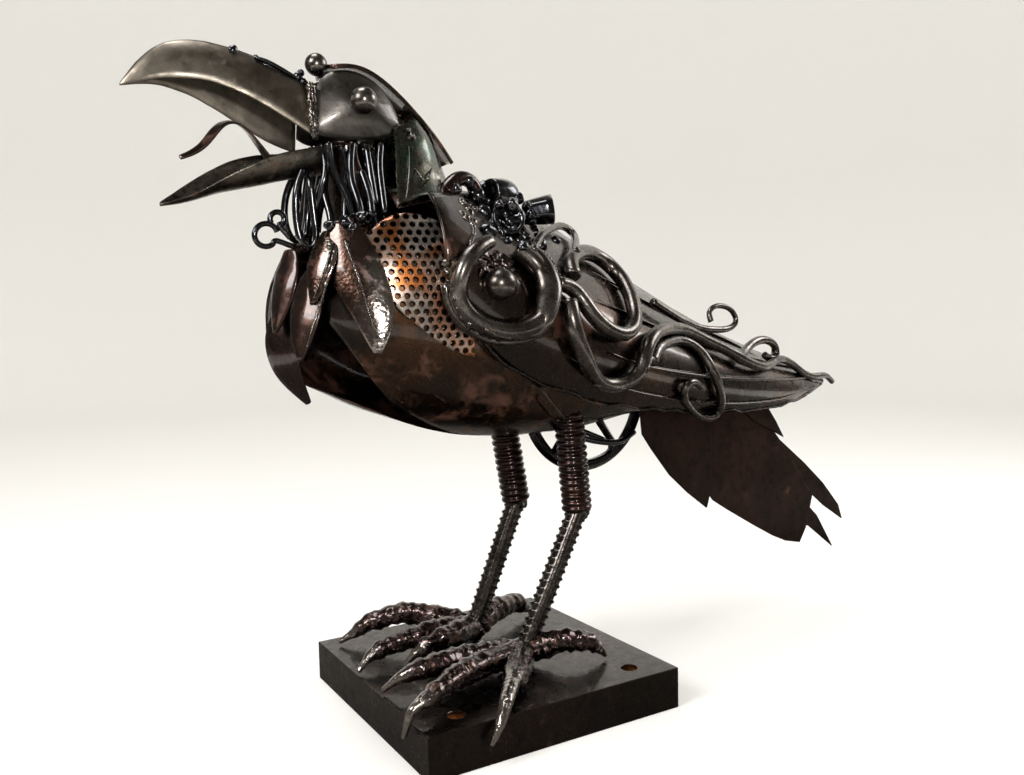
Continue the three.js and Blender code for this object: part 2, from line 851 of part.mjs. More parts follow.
function crownBar(grow) {
  return bentBox(8, 2, (u, v, w) => {
    const p = crownLine.getPointAt(u);
    const along = crownLine.getTangentAt(u);
    const side = (v - 0.5) * (smooth(CROWN_WIDTH, NAPE_WIDTH, u) + 2 * grow);
    const sag = 5 * (2 * v - 1) ** 2;
    const out = smooth(-CROWN_BAR_THICKNESS - grow, grow, w) - sag;
    return point(side, p.y - along.z * out, p.z + along.y * out);
  });
}
add("crown_bar", OILED, crownBar, ["neck_collar"]);

// Cheeks: domed plates on each side of the head
const CHEEK_MIDDLE = [-101, 401];
const CHEEK_RIM_ACROSS = 19;
const CHEEK_DOME = 8;
const CHEEK_SIDES = 16;
const cheekOutline = new THREE.CatmullRomCurve3(
  [
    [-130, 397],
    [-128, 412],
    [-119, 421],
    [-105, 424],
    [-92, 421],
    [-81, 413],
    [-74, 401],
    [-71, 390],
    [-76, 382],
    [-96, 377.5],
    [-114, 377.5],
    [-130, 379],
  ].map(([y, z]) => point(0, y, z)),
  true,
);

function cheek(mirror) {
  return (grow) => {
    const profile = [
      [0, 0],
      [0.5, 0],
      [1, 0],
      [1, 1],
      [0.5, 1],
      [0, 1],
    ].map(([radius, height]) => new THREE.Vector2(radius, height));
    const disc = new THREE.LatheGeometry(profile, CHEEK_SIDES);
    const at = disc.getAttribute("position");
    for (let i = 0; i < at.count; i++) {
      const [x, y, z] = [at.getX(i), at.getY(i), at.getZ(i)];
      const reach = Math.hypot(x, z);
      const sector = Math.round((Math.atan2(z, x) / (2 * Math.PI)) * CHEEK_SIDES);
      const share = (sector + CHEEK_SIDES) % CHEEK_SIDES;
      const rim = cheekOutline.getPoint(share / CHEEK_SIDES);
      const [middleY, middleZ] = CHEEK_MIDDLE;
      const stretch = 1 + grow / 25;
      const lean = Math.max(rim.z - middleZ, 0) * 0.12 * reach;
      const out = CHEEK_RIM_ACROSS + CHEEK_DOME * (1 - reach * reach) - lean;
      at.setXYZ(
        i,
        mirror * (out + smooth(-SHEET - grow, grow, y)),
        middleY + (rim.y - middleY) * reach * stretch,
        middleZ + (rim.z - middleZ) * reach * stretch,
      );
    }
    return solidOf(disc);
  };
}

for (const [side, mirror] of [["left", 1], ["right", -1]]) {
  add(`${side}_cheek_plate`, HEAD, cheek(mirror), ["crown_bar", "neck_collar"]);
  const eyePlace = [mirror * (CHEEK_RIM_ACROSS + CHEEK_DOME), -100.5, 401.6];
  add(`${side}_eye`, BRIGHT, ball(eyePlace, EYE_RADIUS, 9, 5), [`${side}_cheek_plate`]);
}

// Beak halves: place along, height at the middle, left edge and right edge, half width
const upperBeak = sizesAlong([
  [-244.5, 404.5, 402.5, 402.5, 1.2],
  [-237, 417, 404.5, 405, 5],
  [-222, 430.5, 408, 407.5, 9],
  [-200, 435.5, 408.5, 403, 13],
  [-176, 432.5, 402, 391.5, 16],
  [-150, 424.5, 389, 378, 18.5],
  [-131.8, 416, 378, 373, 20],
]);
const lowerBeak = sizesAlong([
  [-225, 331.5, 333, 334, 1.2],
  [-210, 333.5, 336.5, 345, 8],
  [-190, 340.5, 348.5, 358, 12],
  [-170, 344.5, 359.5, 367, 14],
  [-150, 349.5, 367.5, 370.5, 15],
  [-120, 356, 374, 373.5, 15.5],
]);

function beakHalf(sizes, tip, base) {
  return (grow) =>
    bentBox(9, 5, (u, v, w) => {
      const y = smooth(tip - grow, base + grow, u);
      const [middle, left, right, half] = sizes(y);
      const side = 1 - 2 * v;
      const edge = side > 0 ? left : right;
      const bow = Math.cos((Math.abs(side) * Math.PI) / 2) ** 0.8;
      const inward = 1 - w;
      const thin = (SHEET + 2 * grow) * inward - grow;
      const across = Math.sin((side * Math.PI) / 2) * Math.max(half - thin, half * 0.1 * w + 0.2);
      const up = smooth(edge, middle, bow) - Math.sign(middle - edge) * thin * bow;
      return point(across, y, up);
    });
}
add("upper_beak", BEAK, beakHalf(upperBeak, -244.5, -131.8), [
  "left_cheek_plate",
  "right_cheek_plate",
  "crown_bar",
]);
add("lower_beak", BEAK, beakHalf(lowerBeak, -225, -120), [
  "left_cheek_plate",
  "right_cheek_plate",
  "upper_beak",
]);
add("forehead_ball", BRIGHT, ball([7, -124, 427], FOREHEAD_BALL_RADIUS, 8, 6), [
  "upper_beak",
  "crown_bar",
  "left_cheek_plate",
]);

// Tongue: a thin twisted ribbon rising out of the lower beak
const tongueLine = curveThrough([
  [0, -212, 362],
  [0, -201, 367],
  [0, -194, 374],
  [0, -188, 383],
  [0, -180, 388],
  [0, -171, 384],
  [0, -163, 374],
  [0, -154, 362],
  [0, -148, 352],
]);

function tongue(grow) {
  return bentBox(10, 1, (u, v, w) => {
    const p = tongueLine.getPointAt(u);
    const along = tongueLine.getTangentAt(u);
    const twist = smooth(-60, 25, u) * DEGREE;
    const flat = (v - 0.5) * (smooth(0.35, 1, Math.min(u * 3, 1)) * TONGUE_WIDTH + 2 * grow);
    const thick = (w - 0.5) * (SHEET + 2 * grow);
    const across = flat * Math.cos(twist) - thick * Math.sin(twist);
    const out = flat * Math.sin(twist) + thick * Math.cos(twist);
    return point(across, p.y - along.z * out, p.z + along.y * out);
  });
}
add("tongue", RUSTED, tongue, ["lower_beak"]);

// Throat rods hang from the jaw to the breast
const THROAT = {
  throat_hairpin: [
    [10, -137, 357],
    [11, -142, 345],
    [11, -142, 318],
    [13, -138, 306],
    [16, -131, 308],
    [16, -132, 322],
    [15, -134, 352],
  ],
  throat_rod_front: [
    [22, -123, 374],
    [23, -122, 362],
    [26, -118, 350],
    [31, -114, 338],
    [34, -112, 326],
  ],
  throat_rod_hooked: [
    [26, -108, 374],
    [29, -111, 362],
    [31, -111, 348],
    [37, -109, 334],
    [38, -108, 325],
    [40, -103, 322],
    [38, -101, 332],
    [35, -102, 344],
    [30, -104, 356],
  ],
  throat_rod_middle: [
    [25, -98, 374],
    [28, -98, 364],
    [33, -98, 348],
    [38, -98, 334],
  ],
  throat_rod_rear: [
    [26, -88, 375],
    [29, -91, 360],
    [35, -92, 344],
    [41, -93, 328],
  ],
  right_throat_rods: [
    [-10, -136, 357],
    [-14, -142, 342],
    [-15, -141, 318],
    [-21, -132, 312],
    [-28, -122, 320],
    [-28, -116, 345],
    [-25, -110, 372],
  ],
};
const CARRY_THROAT = [
  "lower_beak",
  "left_cheek_plate",
  "right_cheek_plate",
  "neck_collar",
  "left_perforated_collar",
  "right_perforated_collar",
];
const throatSoFar = [];
for (const [name, places] of Object.entries(THROAT)) {
  const steps = places.length * 2 - 3;
  const rod = taperedBar(places, THROAT_ROD_RADIUS, THROAT_ROD_RADIUS, steps, 5);
  add(name, GUNMETAL, rod, [...CARRY_THROAT, ...throatSoFar]);
  throatSoFar.push(name);
}

// Wire curls at the front of the throat
function throatCurl() {
  const ring = Array.from({ length: 9 }, (_, i) => {
    const angle = smooth(-30, -330, i / 8) * DEGREE;
    return [4, -160 + Math.cos(angle) * 8, 316 + Math.sin(angle) * 8];
  });
  const big = taperedBar([[8, -143, 306], [5, -149, 307], ...ring], WIRE_RADIUS, WIRE_RADIUS, 14, 4);
  const small = Array.from({ length: 7 }, (_, i) => {
    const angle = smooth(-60, 220, i / 6) * DEGREE;
    return [7, -151 + Math.cos(angle) * 4.6, 325 + Math.sin(angle) * 4.6];
  });
  const little = taperedBar([[8, -143, 306], [8, -146, 314], ...small], WIRE_RADIUS, WIRE_RADIUS, 9, 4);
  return joined(big, little);
}
add("throat_curl", GUNMETAL, throatCurl(), ["throat_hairpin", "throat_rod_front"]);

// Breast feathers: folded blades that hang over the chest, outermost first
const FEATHERS = {
  left_breast_feather_outer: {
    spine: [[43, -122, 322], [55, -120, 290], [65, -114, 262], [66, -112, 238]],
    across: [0.5, 0.85, -0.1],
    width: 38,
    crease: 0.3,
  },
  left_breast_feather_middle: {
    spine: [[36, -130, 316], [41, -139, 295], [41, -144, 270]],
    across: [0.75, 0.6, -0.1],
    width: 20,
    crease: 0.25,
  },
  left_breast_feather_inner: {
    spine: [[30, -140, 292], [37, -150, 262], [38, -153, 234]],
    across: [0.8, 0.6, 0],
    width: 24,
    crease: 0.25,
  },
  breast_feather_front: {
    spine: [[10, -148, 306], [12, -156, 280], [14, -161, 252]],
    across: [0.9, 0.45, 0],
    width: 22,
    crease: 0.35,
  },
  right_breast_feather_outer: {
    spine: [[-43, -122, 320], [-55, -120, 290], [-65, -114, 262], [-66, -112, 240]],
    across: [-0.5, 0.85, -0.1],
    width: 38,
    crease: -0.3,
  },
  right_breast_feather_inner: {
    spine: [[-26, -138, 308], [-34, -148, 276], [-36, -151, 240]],
    across: [-0.75, 0.6, 0],
    width: 34,
    crease: -0.25,
  },
  keel_plate: {
    spine: [[-4, -150, 276], [-3, -163, 250], [-1, -158, 224], [4, -138, 203]],
    across: [1, 0.15, 0],
    width: 44,
    crease: 0.55,
  },
};
const feathersSoFar = ["left_perforated_collar", "right_perforated_collar"];
feathersSoFar.push("left_flank", "right_flank", ...throatSoFar, "throat_curl");
for (const [name, sizes] of Object.entries(FEATHERS)) {
  add(name, RUSTED, blade(sizes), feathersSoFar);
  feathersSoFar.push(name);
}

// Tail feathers: flat plates that hang from under the wings, one behind another
function tailPlate(outline, across) {
  const flat = new THREE.Shape(outline.map(([y, z]) => new THREE.Vector2(y, z)));
  const plate = new THREE.ExtrudeGeometry(flat, { depth: TAIL_SHEET, bevelEnabled: false });
  const lean = new THREE.Matrix4().makeBasis(point(0, 1, 0), point(TAIL_LEAN, 0, 1), point(1, 0, 0));
  return solidOf(plate.applyMatrix4(lean).translate(across, 0, 0));
}
const TAIL_LEAN = -0.05;
const TAIL = {
  tail_feather_left: {
    across: 17,
    outline: [
      [206, 192],
      [196, 156],
      [203, 116],
      [219, 95],
      [235, 85],
      [268, 66],
      [290, 54],
      [306, 47],
      [324, 43],
      [333, 56],
      [339, 73],
      [343, 85],
      [322, 114],
      [302, 139],
      [288, 157],
      [276, 178],
      [262, 198],
    ],
  },
  tail_feather_front: {
    across: 29,
    outline: [
      [132, 190],
      [134, 161],
      [143, 148],
      [161, 125],
      [180, 108],
      [200, 93],
      [204, 104],
      [207, 125],
      [208, 152],
      [208, 190],
    ],
  },
  tail_feather_middle: {
    across: -2,
    outline: [
      [262, 198],
      [258, 152],
      [285, 106],
      [330, 80],
      [366, 79],
      [381, 67],
      [406, 51],
      [401, 66],
      [380, 90],
      [355, 112],
      [323, 137],
      [298, 166],
      [286, 198],
    ],
  },
  tail_feather_right: {
    across: -14,
    outline: [
      [228, 190],
      [235, 150],
      [262, 105],
      [300, 72],
      [340, 53],
      [372, 46],
      [405, 21],
      [384, 55],
      [345, 92],
      [300, 125],
      [262, 170],
      [255, 194],
    ],
  },
};
// A small covert lies on the left tail feather
const COVERT_ACROSS = TAIL.tail_feather_left.across + TAIL_SHEET * 0.8;
const covert = [
  [252, 190],
  [254, 172],
  [270, 160],
  [288, 152],
  [306, 143],
  [297, 158],
  [284, 176],
  [276, 192],
];
const abovePlates = ["left_wing", "right_wing", "left_flank", "right_flank", "belly_wheel"];
for (const [name, { outline, across }] of Object.entries(TAIL)) {
  const plates = [() => tailPlate(outline, across)];
  if (name === "tail_feather_left") plates.push(() => tailPlate(covert, COVERT_ACROSS));
  add(name, OILED, joined(...plates), abovePlates);
}

export default sculpture;
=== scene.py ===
"""A raven welded from scrap steel, dressed over its solid model: smooth shells, bent rods,
hammered blades, perforated sheet, ribbed legs, weld beads and oiled, heat-tinted finishes."""

import math
import random

import bmesh
import bpy
from bpy.props import FloatProperty, FloatVectorProperty, IntProperty, PointerProperty
from mathutils import Matrix, Vector, noise
from mathutils.bvhtree import BVHTree


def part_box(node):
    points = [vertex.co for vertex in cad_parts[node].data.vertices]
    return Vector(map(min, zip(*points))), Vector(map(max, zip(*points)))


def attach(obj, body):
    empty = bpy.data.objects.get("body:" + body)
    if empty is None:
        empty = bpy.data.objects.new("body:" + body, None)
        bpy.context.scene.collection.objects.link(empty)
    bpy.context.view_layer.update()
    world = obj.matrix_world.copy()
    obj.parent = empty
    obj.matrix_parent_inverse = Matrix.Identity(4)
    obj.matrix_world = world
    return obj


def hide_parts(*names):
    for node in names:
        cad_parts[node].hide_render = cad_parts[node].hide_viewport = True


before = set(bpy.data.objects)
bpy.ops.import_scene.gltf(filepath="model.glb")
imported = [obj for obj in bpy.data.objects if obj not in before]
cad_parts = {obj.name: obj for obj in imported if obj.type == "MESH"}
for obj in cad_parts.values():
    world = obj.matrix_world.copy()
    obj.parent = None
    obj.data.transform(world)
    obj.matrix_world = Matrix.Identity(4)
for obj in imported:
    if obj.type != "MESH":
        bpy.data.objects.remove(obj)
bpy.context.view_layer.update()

bl_info = {
    "name": "Scrap steel raven",
    "version": (1, 0, 0),
    "blender": (4, 5, 0),
    "location": "View3D > Sidebar > Raven",
    "description": "Builds the dressed raven sculpture and its studio",
    "category": "Add Mesh",
}

MM = 0.001

# Fixed measures of the fine work
SOLID_MERGE, SPUN_MERGE = 0.02 * MM, 0.01 * MM
RIM_CREASE = 0.85
HARD_EDGE = 0.9
WELD_FLOOR = 30.2 * MM
PLINTH_EDGE = 0.7 * MM
PLATE_EDGE = 0.4 * MM
KNEE_WELD, ANKLE_WELD = 9.3 * MM, 10.0 * MM
RAIL_HEIGHT = 0.7 * MM
THIGH_CORE, THIGH_LOBE = 9.3 * MM, 2.4 * MM
EYE_RADIUS, FOREHEAD_BALL_RADIUS, BEARING_BALL_RADIUS = 8.9 * MM, 7.4 * MM, 11.2 * MM
HOLE_SIDES, HOLE_DEPTH, FEWEST_HOLE_FACES = 12, 8 * MM, 500


def distance(name, text, value, least):
    """A length property, with its value and least value in millimetres."""
    return FloatProperty(
        name=name, description=text, default=value * MM, min=least * MM, unit="LENGTH", subtype="DISTANCE")


class RavenSizes(bpy.types.PropertyGroup):
    """Sizes of the fine work on the raven."""

    smoothing: IntProperty(
        name="Smoothing", description="Subdivision levels of the shells and rods",
        default=2, min=0, max=3)
    hole: distance("Perforation", "Diameter of the holes in the perforated collars", 4.4, 1)
    pitch: distance("Perforation pitch", "Distance between neighbouring holes", 6.0, 2)
    shank: distance("Shank radius", "Radius of the leg bars between their ribs", 7.0, 1)
    rib: distance("Rib height", "How far the ribs stand out of the leg bars", 1.5, 0)
    rib_pitch: distance("Rib pitch", "Distance between the ribs of the leg bars", 6.0, 2)
    coil_pitch: distance("Coil pitch", "Distance between the turns of the thighs", 5.2, 2)
    weld: distance("Weld bead", "Radius of the weld beads", 1.7, 0.5)
    throat_rod: distance("Throat rod", "Radius of the rods in the throat", 2.5, 0.5)


def colour(name, text, value):
    return FloatVectorProperty(
        name=name, description=text, default=value, size=3, min=0, max=1, subtype="COLOR")


class RavenColours(bpy.types.PropertyGroup):
    """Colours of the raven's finishes."""

    oiled: colour("Oiled steel", "Wings and flanks", (0.036, 0.026, 0.019))
    bright: colour("Bright steel", "Bent rods, rings and eyes", (0.190, 0.168, 0.148))
    beak: colour("Beak steel", "Beak halves", (0.300, 0.262, 0.210))
    head: colour("Head steel", "Cheek plates", (0.225, 0.208, 0.185))
    rust: colour("Rust", "Rust over feathers and toes", (0.055, 0.029, 0.021))
    orange: colour("Orange rust", "Fresh rust behind the perforated sheet", (0.480, 0.150, 0.035))
    green: colour("Greenish steel", "Neck collar", (0.060, 0.100, 0.074))
    gunmetal: colour("Gunmetal", "Throat rods, wheel and fittings", (0.022, 0.025, 0.031))
    silver: colour("Silver sheet", "Perforated collars", (0.560, 0.520, 0.470))
    coil: colour("Coil", "Wound thighs", (0.042, 0.021, 0.018))
    base: colour("Plinth", "Plinth plate", (0.027, 0.019, 0.013))


# Node groups that more than one finish uses

DARK_RUST, LIGHT_RUST = (0.045, 0.017, 0.012, 1), (0.135, 0.046, 0.021, 1)
# The second colour here is the metal of polished claw tips, and also a painted highlight on the breast
# feathers.
FRESH_RUST, POLISH_AND_HIGHLIGHT, SOOT = (0.42, 0.135, 0.022, 1), (0.50, 0.46, 0.42, 1), (0.02, 0.018, 0.016, 1)
FLOAT, COLOUR, VECTOR = "NodeSocketFloat", "NodeSocketColor", "NodeSocketVector"


def new_group(name, inputs, outputs):
    group = bpy.data.node_groups.new(name, "ShaderNodeTree")
    for label, kind, value in inputs:
        socket = group.interface.new_socket(label, in_out="INPUT", socket_type=kind)
        socket.default_value = value
    for label, kind in outputs:
        group.interface.new_socket(label, in_out="OUTPUT", socket_type=kind)
    return group, group.nodes.new("NodeGroupInput"), group.nodes.new("NodeGroupOutput")


def node(tree, kind, options=None, **sockets):
    made = tree.nodes.new(kind)
    for key, value in (options or {}).items():
        setattr(made, key, value)
    for key, value in sockets.items():
        numbered = key[0] == "i" and key[1:].isdigit()
        socket = made.inputs[int(key[1:]) if numbered else key]
        if hasattr(value, "node"):
            tree.links.new(value, socket)
        else:
            socket.default_value = value
    return made


def maths(tree, operation, a, b=0.0, clamp=False):
    return node(tree, "ShaderNodeMath", {"operation": operation, "use_clamp": clamp}, i0=a, i1=b).outputs[0]


def times(tree, a, b):
    return maths(tree, "MULTIPLY", a, b)


def plus(tree, a, b, clamp=False):
    return maths(tree, "ADD", a, b, clamp)


def blend_colours(tree, share, a, b, kind="MIX"):
    made = tree.nodes.new("ShaderNodeMix")
    made.data_type = "RGBA"
    made.blend_type = kind
    for socket, value in ((made.inputs[0], share), (made.inputs[6], a), (made.inputs[7], b)):
        if hasattr(value, "node"):
            tree.links.new(value, socket)
        else:
            socket.default_value = value
    return made.outputs[2]


def span(tree, value, low, high, to_low=0.0, to_high=1.0):
    return node(
        tree, "ShaderNodeMapRange", {"interpolation_type": "SMOOTHSTEP"},
        i0=value, i1=low, i2=high, i3=to_low, i4=to_high).outputs[0]


def cloud(tree, where, scale, detail=4.0, rough=0.55, warp=0.0):
    return node(
        tree, "ShaderNodeTexNoise", None, Vector=where, Scale=scale, Detail=detail,
        Roughness=rough, Distortion=warp).outputs["Fac"]


def worn_steel_group():
    """Patches of tint, grime and rust over steel, with its roughness."""
    group, enter, leave = new_group(
        "Worn steel",
        [("Vector", VECTOR, (0, 0, 0)), ("Steel", COLOUR, (0.2, 0.2, 0.2, 1)),
         ("Tint", COLOUR, (0.3, 0.25, 0.2, 1)), ("Grime", COLOUR, (0.02, 0.02, 0.02, 1)),
         ("Rust", FLOAT, 0.3), ("Patch", FLOAT, 30.0), ("Rough", FLOAT, 0.3), ("Spots", FLOAT, 0.8)],
        [("Color", COLOUR), ("Roughness", FLOAT), ("Metal", FLOAT)])
    g, o = group, enter.outputs
    broad = cloud(g, o["Vector"], o["Patch"], 4, 0.6, 0.6)
    fine = cloud(g, o["Vector"], times(g, o["Patch"], 7.0), 3, 0.6)
    grain = cloud(g, o["Vector"], 900.0, 2, 0.6)
    tinted = blend_colours(g, span(g, broad, 0.42, 0.62), o["Steel"], o["Tint"])
    grimed = blend_colours(
        g, times(g, span(g, fine, 0.48, 0.70), o["Spots"]), tinted, o["Grime"])
    mask = cloud(g, o["Vector"], times(g, o["Patch"], 1.9), 4, 0.68, 0.4)
    edge = maths(g, "SUBTRACT", 1.0, o["Rust"])
    start = plus(g, times(g, edge, 0.42), 0.26)
    rust = span(g, mask, start, plus(g, start, 0.14))
    rusty = blend_colours(g, fine, DARK_RUST, LIGHT_RUST)
    final = blend_colours(g, rust, grimed, rusty)
    final = blend_colours(g, times(g, grain, 0.35), final, SOOT)
    rough = plus(g, o["Rough"], times(g, maths(g, "SUBTRACT", fine, 0.5), 0.45))
    rough = plus(g, rough, times(g, rust, 0.22), True)
    metal = maths(g, "SUBTRACT", 1.0, times(g, rust, 0.55), True)
    g.links.new(final, leave.inputs["Color"])
    g.links.new(rough, leave.inputs["Roughness"])
    g.links.new(metal, leave.inputs["Metal"])
    return group


def beaten_group():
    """Height of hammer marks, weld spatter and scratches."""
    group, enter, leave = new_group(
        "Beaten surface",
        [("Vector", VECTOR, (0, 0, 0)), ("Hammer scale", FLOAT, 120.0), ("Hammer", FLOAT, 0.5),
         ("Scratches", FLOAT, 0.2), ("Spatter", FLOAT, 0.2), ("Pits", FLOAT, 0.2)],
        [("Height", FLOAT)])
    g, o = group, enter.outputs
    dents = node(
        g, "ShaderNodeTexVoronoi", None, Vector=o["Vector"], Scale=o["Hammer scale"]).outputs["Distance"]
    height = times(g, dents, o["Hammer"])
    streaks = node(g, "ShaderNodeMapping", None, Vector=o["Vector"], Scale=(60.0, 900.0, 900.0),
                   Rotation=(0.5, 0.35, 0.2)).outputs[0]
    lines = cloud(g, streaks, 1.0, 3, 0.7)
    height = plus(g, height, times(g, lines, o["Scratches"]))
    drops = node(g, "ShaderNodeTexVoronoi", None, Vector=o["Vector"], Scale=230.0).outputs["Distance"]
    blobs = times(g, span(g, drops, 0.26, 0.0), o["Spatter"])
    height = plus(g, height, blobs)
    holes = times(g, cloud(g, o["Vector"], 420.0, 3, 0.7), o["Pits"])
    g.links.new(plus(g, height, holes), leave.inputs["Height"])
    return group


GROUPS = {}
FINISHES = {}


def finish(name, steel, tint, rust, patch, rough, grime=(0.012, 0.010, 0.009), hammer=0.3,
           hammer_scale=110.0, scratches=0.15, spatter=0.1, pits=0.2, relief=0.6,
           depth=0.0006, coat=0.6, spots=0.8, bright_tip=False, rust_at=()):
    """A steel finish under an oily clear coat.

    The share of rust, the patches to a metre and the roughness follow the two colours.
    """
    material = bpy.data.materials.new(name)
    material.use_nodes = True
    tree = material.node_tree
    tree.nodes.clear()
    shader = tree.nodes.new("ShaderNodeBsdfPrincipled")
    out = tree.nodes.new("ShaderNodeOutputMaterial")
    tree.links.new(shader.outputs[0], out.inputs[0])
    where = tree.nodes.new("ShaderNodeTexCoord").outputs["Object"]
    worn = tree.nodes.new("ShaderNodeGroup")
    worn.node_tree = GROUPS["worn"]
    tree.links.new(where, worn.inputs["Vector"])
    for label, value in (("Steel", (*steel, 1)), ("Tint", (*tint, 1)), ("Grime", (*grime, 1)), ("Rust", rust),
                         ("Patch", patch), ("Rough", rough), ("Spots", spots)):
        worn.inputs[label].default_value = value
    base, roughness, metal = worn.outputs[0], worn.outputs[1], worn.outputs[2]
    # This mask brightens polished claw tips, and on the breast feathers it is a painted highlight over their
    # rear halves.
    if bright_tip:
        share = node(tree, "ShaderNodeAttribute", {"attribute_name": "polish_and_highlight"}).outputs["Fac"]
        base = blend_colours(tree, times(tree, share, 0.8), base, POLISH_AND_HIGHLIGHT)
        roughness = times(tree, roughness, span(tree, share, 0.0, 1.0, 1.0, 0.55))
        metal = maths(tree, "MAXIMUM", metal, share)
    for (*middle, reach) in rust_at:
        gap = node(tree, "ShaderNodeVectorMath", {"operation": "DISTANCE"}, i0=where, i1=middle)
        near = gap.outputs["Value"]
        ragged = plus(tree, near, times(tree, cloud(tree, where, 90.0), reach))
        share = span(tree, ragged, reach * 1.6, reach * 0.9)
        base = blend_colours(tree, share, base, FRESH_RUST)
        roughness = maths(tree, "MAXIMUM", roughness, times(tree, share, 0.7))
        metal = times(tree, metal, span(tree, share, 0.0, 1.0, 1.0, 0.2))
    tree.links.new(base, shader.inputs["Base Color"])
    tree.links.new(roughness, shader.inputs["Roughness"])
    tree.links.new(metal, shader.inputs["Metallic"])
    shader.inputs["Coat Weight"].default_value = coat
    shader.inputs["Coat Roughness"].default_value = 0.09
    beaten = tree.nodes.new("ShaderNodeGroup")
    beaten.node_tree = GROUPS["beaten"]
    tree.links.new(where, beaten.inputs["Vector"])
    for label, value in (("Hammer scale", hammer_scale), ("Hammer", hammer), ("Scratches", scratches),
                         ("Spatter", spatter), ("Pits", pits)):
        beaten.inputs[label].default_value = value
    bump = node(tree, "ShaderNodeBump", None, Strength=relief, Distance=depth, Height=beaten.outputs[0])
    tree.links.new(bump.outputs[0], shader.inputs["Normal"])
    FINISHES[name] = material


# The rusty screw holes of the plinth: a place and a reach
RUSTY_HOLES = (
    (0.0816, -0.0715, 0.022, 0.010), (0.0816, 0.0715, 0.022, 0.010), (-0.0816, -0.0715, 0.022, 0.008),
)


def make_finishes(c):
    if FINISHES:
        return
    GROUPS["worn"] = worn_steel_group()
    GROUPS["beaten"] = beaten_group()
    finish("Oiled steel", c.oiled, (0.080, 0.045, 0.028), 0.27, 16, 0.28,
           hammer=0.25, hammer_scale=55, pits=0.25, coat=0.7, relief=0.5, spots=0.6)
    finish("Flank steel", c.oiled, (0.100, 0.046, 0.020), 0.33, 13, 0.30,
           hammer=0.3, hammer_scale=45, pits=0.3, coat=0.65, relief=0.55, spots=0.7)
    finish("Rusty flank steel", (0.046, 0.024, 0.018), (0.100, 0.040, 0.018), 0.42, 14, 0.3,
           hammer=0.3, hammer_scale=45, coat=0.7)
    finish("Bright steel", c.bright, (0.090, 0.075, 0.064), 0.08, 34, 0.29,
           hammer=0.25, hammer_scale=110, scratches=0.08, pits=0.1, coat=0.4, relief=0.3, spots=0.5)
    finish("Beak steel", c.beak, (0.140, 0.116, 0.086), 0.17, 16, 0.37,
           hammer=0.3, hammer_scale=120, scratches=0.3, coat=0.15, relief=0.4, spots=0.3)
    finish("Dark beak steel", (0.170, 0.150, 0.120), (0.060, 0.055, 0.045), 0.34, 24, 0.33,
           hammer=0.4, hammer_scale=90, scratches=0.3, coat=0.2, relief=0.5)
    finish("Head steel", c.head, (0.095, 0.086, 0.075), 0.15, 22, 0.36,
           hammer=0.3, hammer_scale=110, coat=0.3, relief=0.45, spots=0.35)
    finish("Red blade steel", c.rust, (0.045, 0.023, 0.019), 0.34, 26, 0.34,
           hammer=0.5, hammer_scale=150, coat=0.7, relief=0.6)
    # This finish paints a highlight where its bright share is set, over the breast feathers' rear halves.
    finish("Hammered blade steel", (0.098, 0.052, 0.037), (0.066, 0.033, 0.021), 0.30, 26, 0.24,
           hammer=0.38, hammer_scale=430, coat=0.8, relief=0.6, bright_tip=True)
    finish("Keel steel", (0.045, 0.024, 0.021), (0.080, 0.036, 0.028), 0.25, 24, 0.28,
           hammer=0.4, hammer_scale=110, coat=0.8, relief=0.5)
    finish("Greenish steel", c.green, (0.120, 0.112, 0.086), 0.16, 30, 0.27,
           hammer=0.6, hammer_scale=60, coat=0.7, relief=0.8, spots=0.4)
    finish("Gunmetal", c.gunmetal, (0.050, 0.050, 0.055), 0.10, 50, 0.20,
           hammer=0.5, hammer_scale=210, spatter=0.25, coat=1.0)
    finish("Perforated sheet", c.silver, c.orange, 0.36, 20, 0.30,
           grime=(0.16, 0.055, 0.018), hammer=0.2, hammer_scale=120, coat=0.3, relief=0.3, spots=0.3)
    finish("Coil steel", c.coil, (0.070, 0.030, 0.023), 0.20, 60, 0.33,
           hammer=0.3, hammer_scale=200, coat=0.6)
    finish("Leg bar steel", (0.100, 0.086, 0.075), (0.046, 0.034, 0.029), 0.16, 55, 0.25,
           hammer=0.4, hammer_scale=220, coat=0.7)
    finish("Toe steel", (0.072, 0.040, 0.036), (0.125, 0.082, 0.070), 0.27, 45, 0.24,
           hammer=0.8, hammer_scale=240, spatter=0.5, coat=0.9, relief=0.85, depth=0.0009,
           bright_tip=True)
    finish("Tail steel", (0.040, 0.024, 0.018), (0.062, 0.033, 0.023), 0.16, 18, 0.55,
           hammer=0.3, hammer_scale=60, coat=0.05, spots=0.4)
    finish("Weld metal", (0.220, 0.195, 0.165), (0.080, 0.060, 0.047), 0.20, 90, 0.22,
           hammer=0.9, hammer_scale=420, spatter=0.4, coat=0.8, relief=0.8)
    finish("Plinth steel", c.base, (0.050, 0.034, 0.026), 0.16, 15, 0.30,
           hammer=0.2, hammer_scale=40, scratches=0.4, pits=0.3, coat=0.45, relief=0.45,
           rust_at=RUSTY_HOLES)


# Making and placing meshes


def settings():
    return bpy.context.scene.raven_sizes


def colours():
    return bpy.context.scene.raven_colours


def place(piece, material, slot, *nodes, smooth=True):
    piece.data.materials.clear()
    piece.data.materials.append(FINISHES[material])
    if smooth:
        piece.data.shade_smooth()
    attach(piece, "root")
    if nodes:
        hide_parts(*nodes)
    return piece


def piece_from(name, bm):
    mesh = bpy.data.meshes.new(name)
    bm.to_mesh(mesh)
    bm.free()
    piece = bpy.data.objects.new(name, mesh)
    bpy.context.collection.objects.link(piece)
    return piece


def finished(name, bm, material, slot, *nodes):
    """A piece with its normals turned outward, in its finish."""
    bmesh.ops.recalc_face_normals(bm, faces=bm.faces)
    place(piece_from(name, bm), material, slot, *nodes)


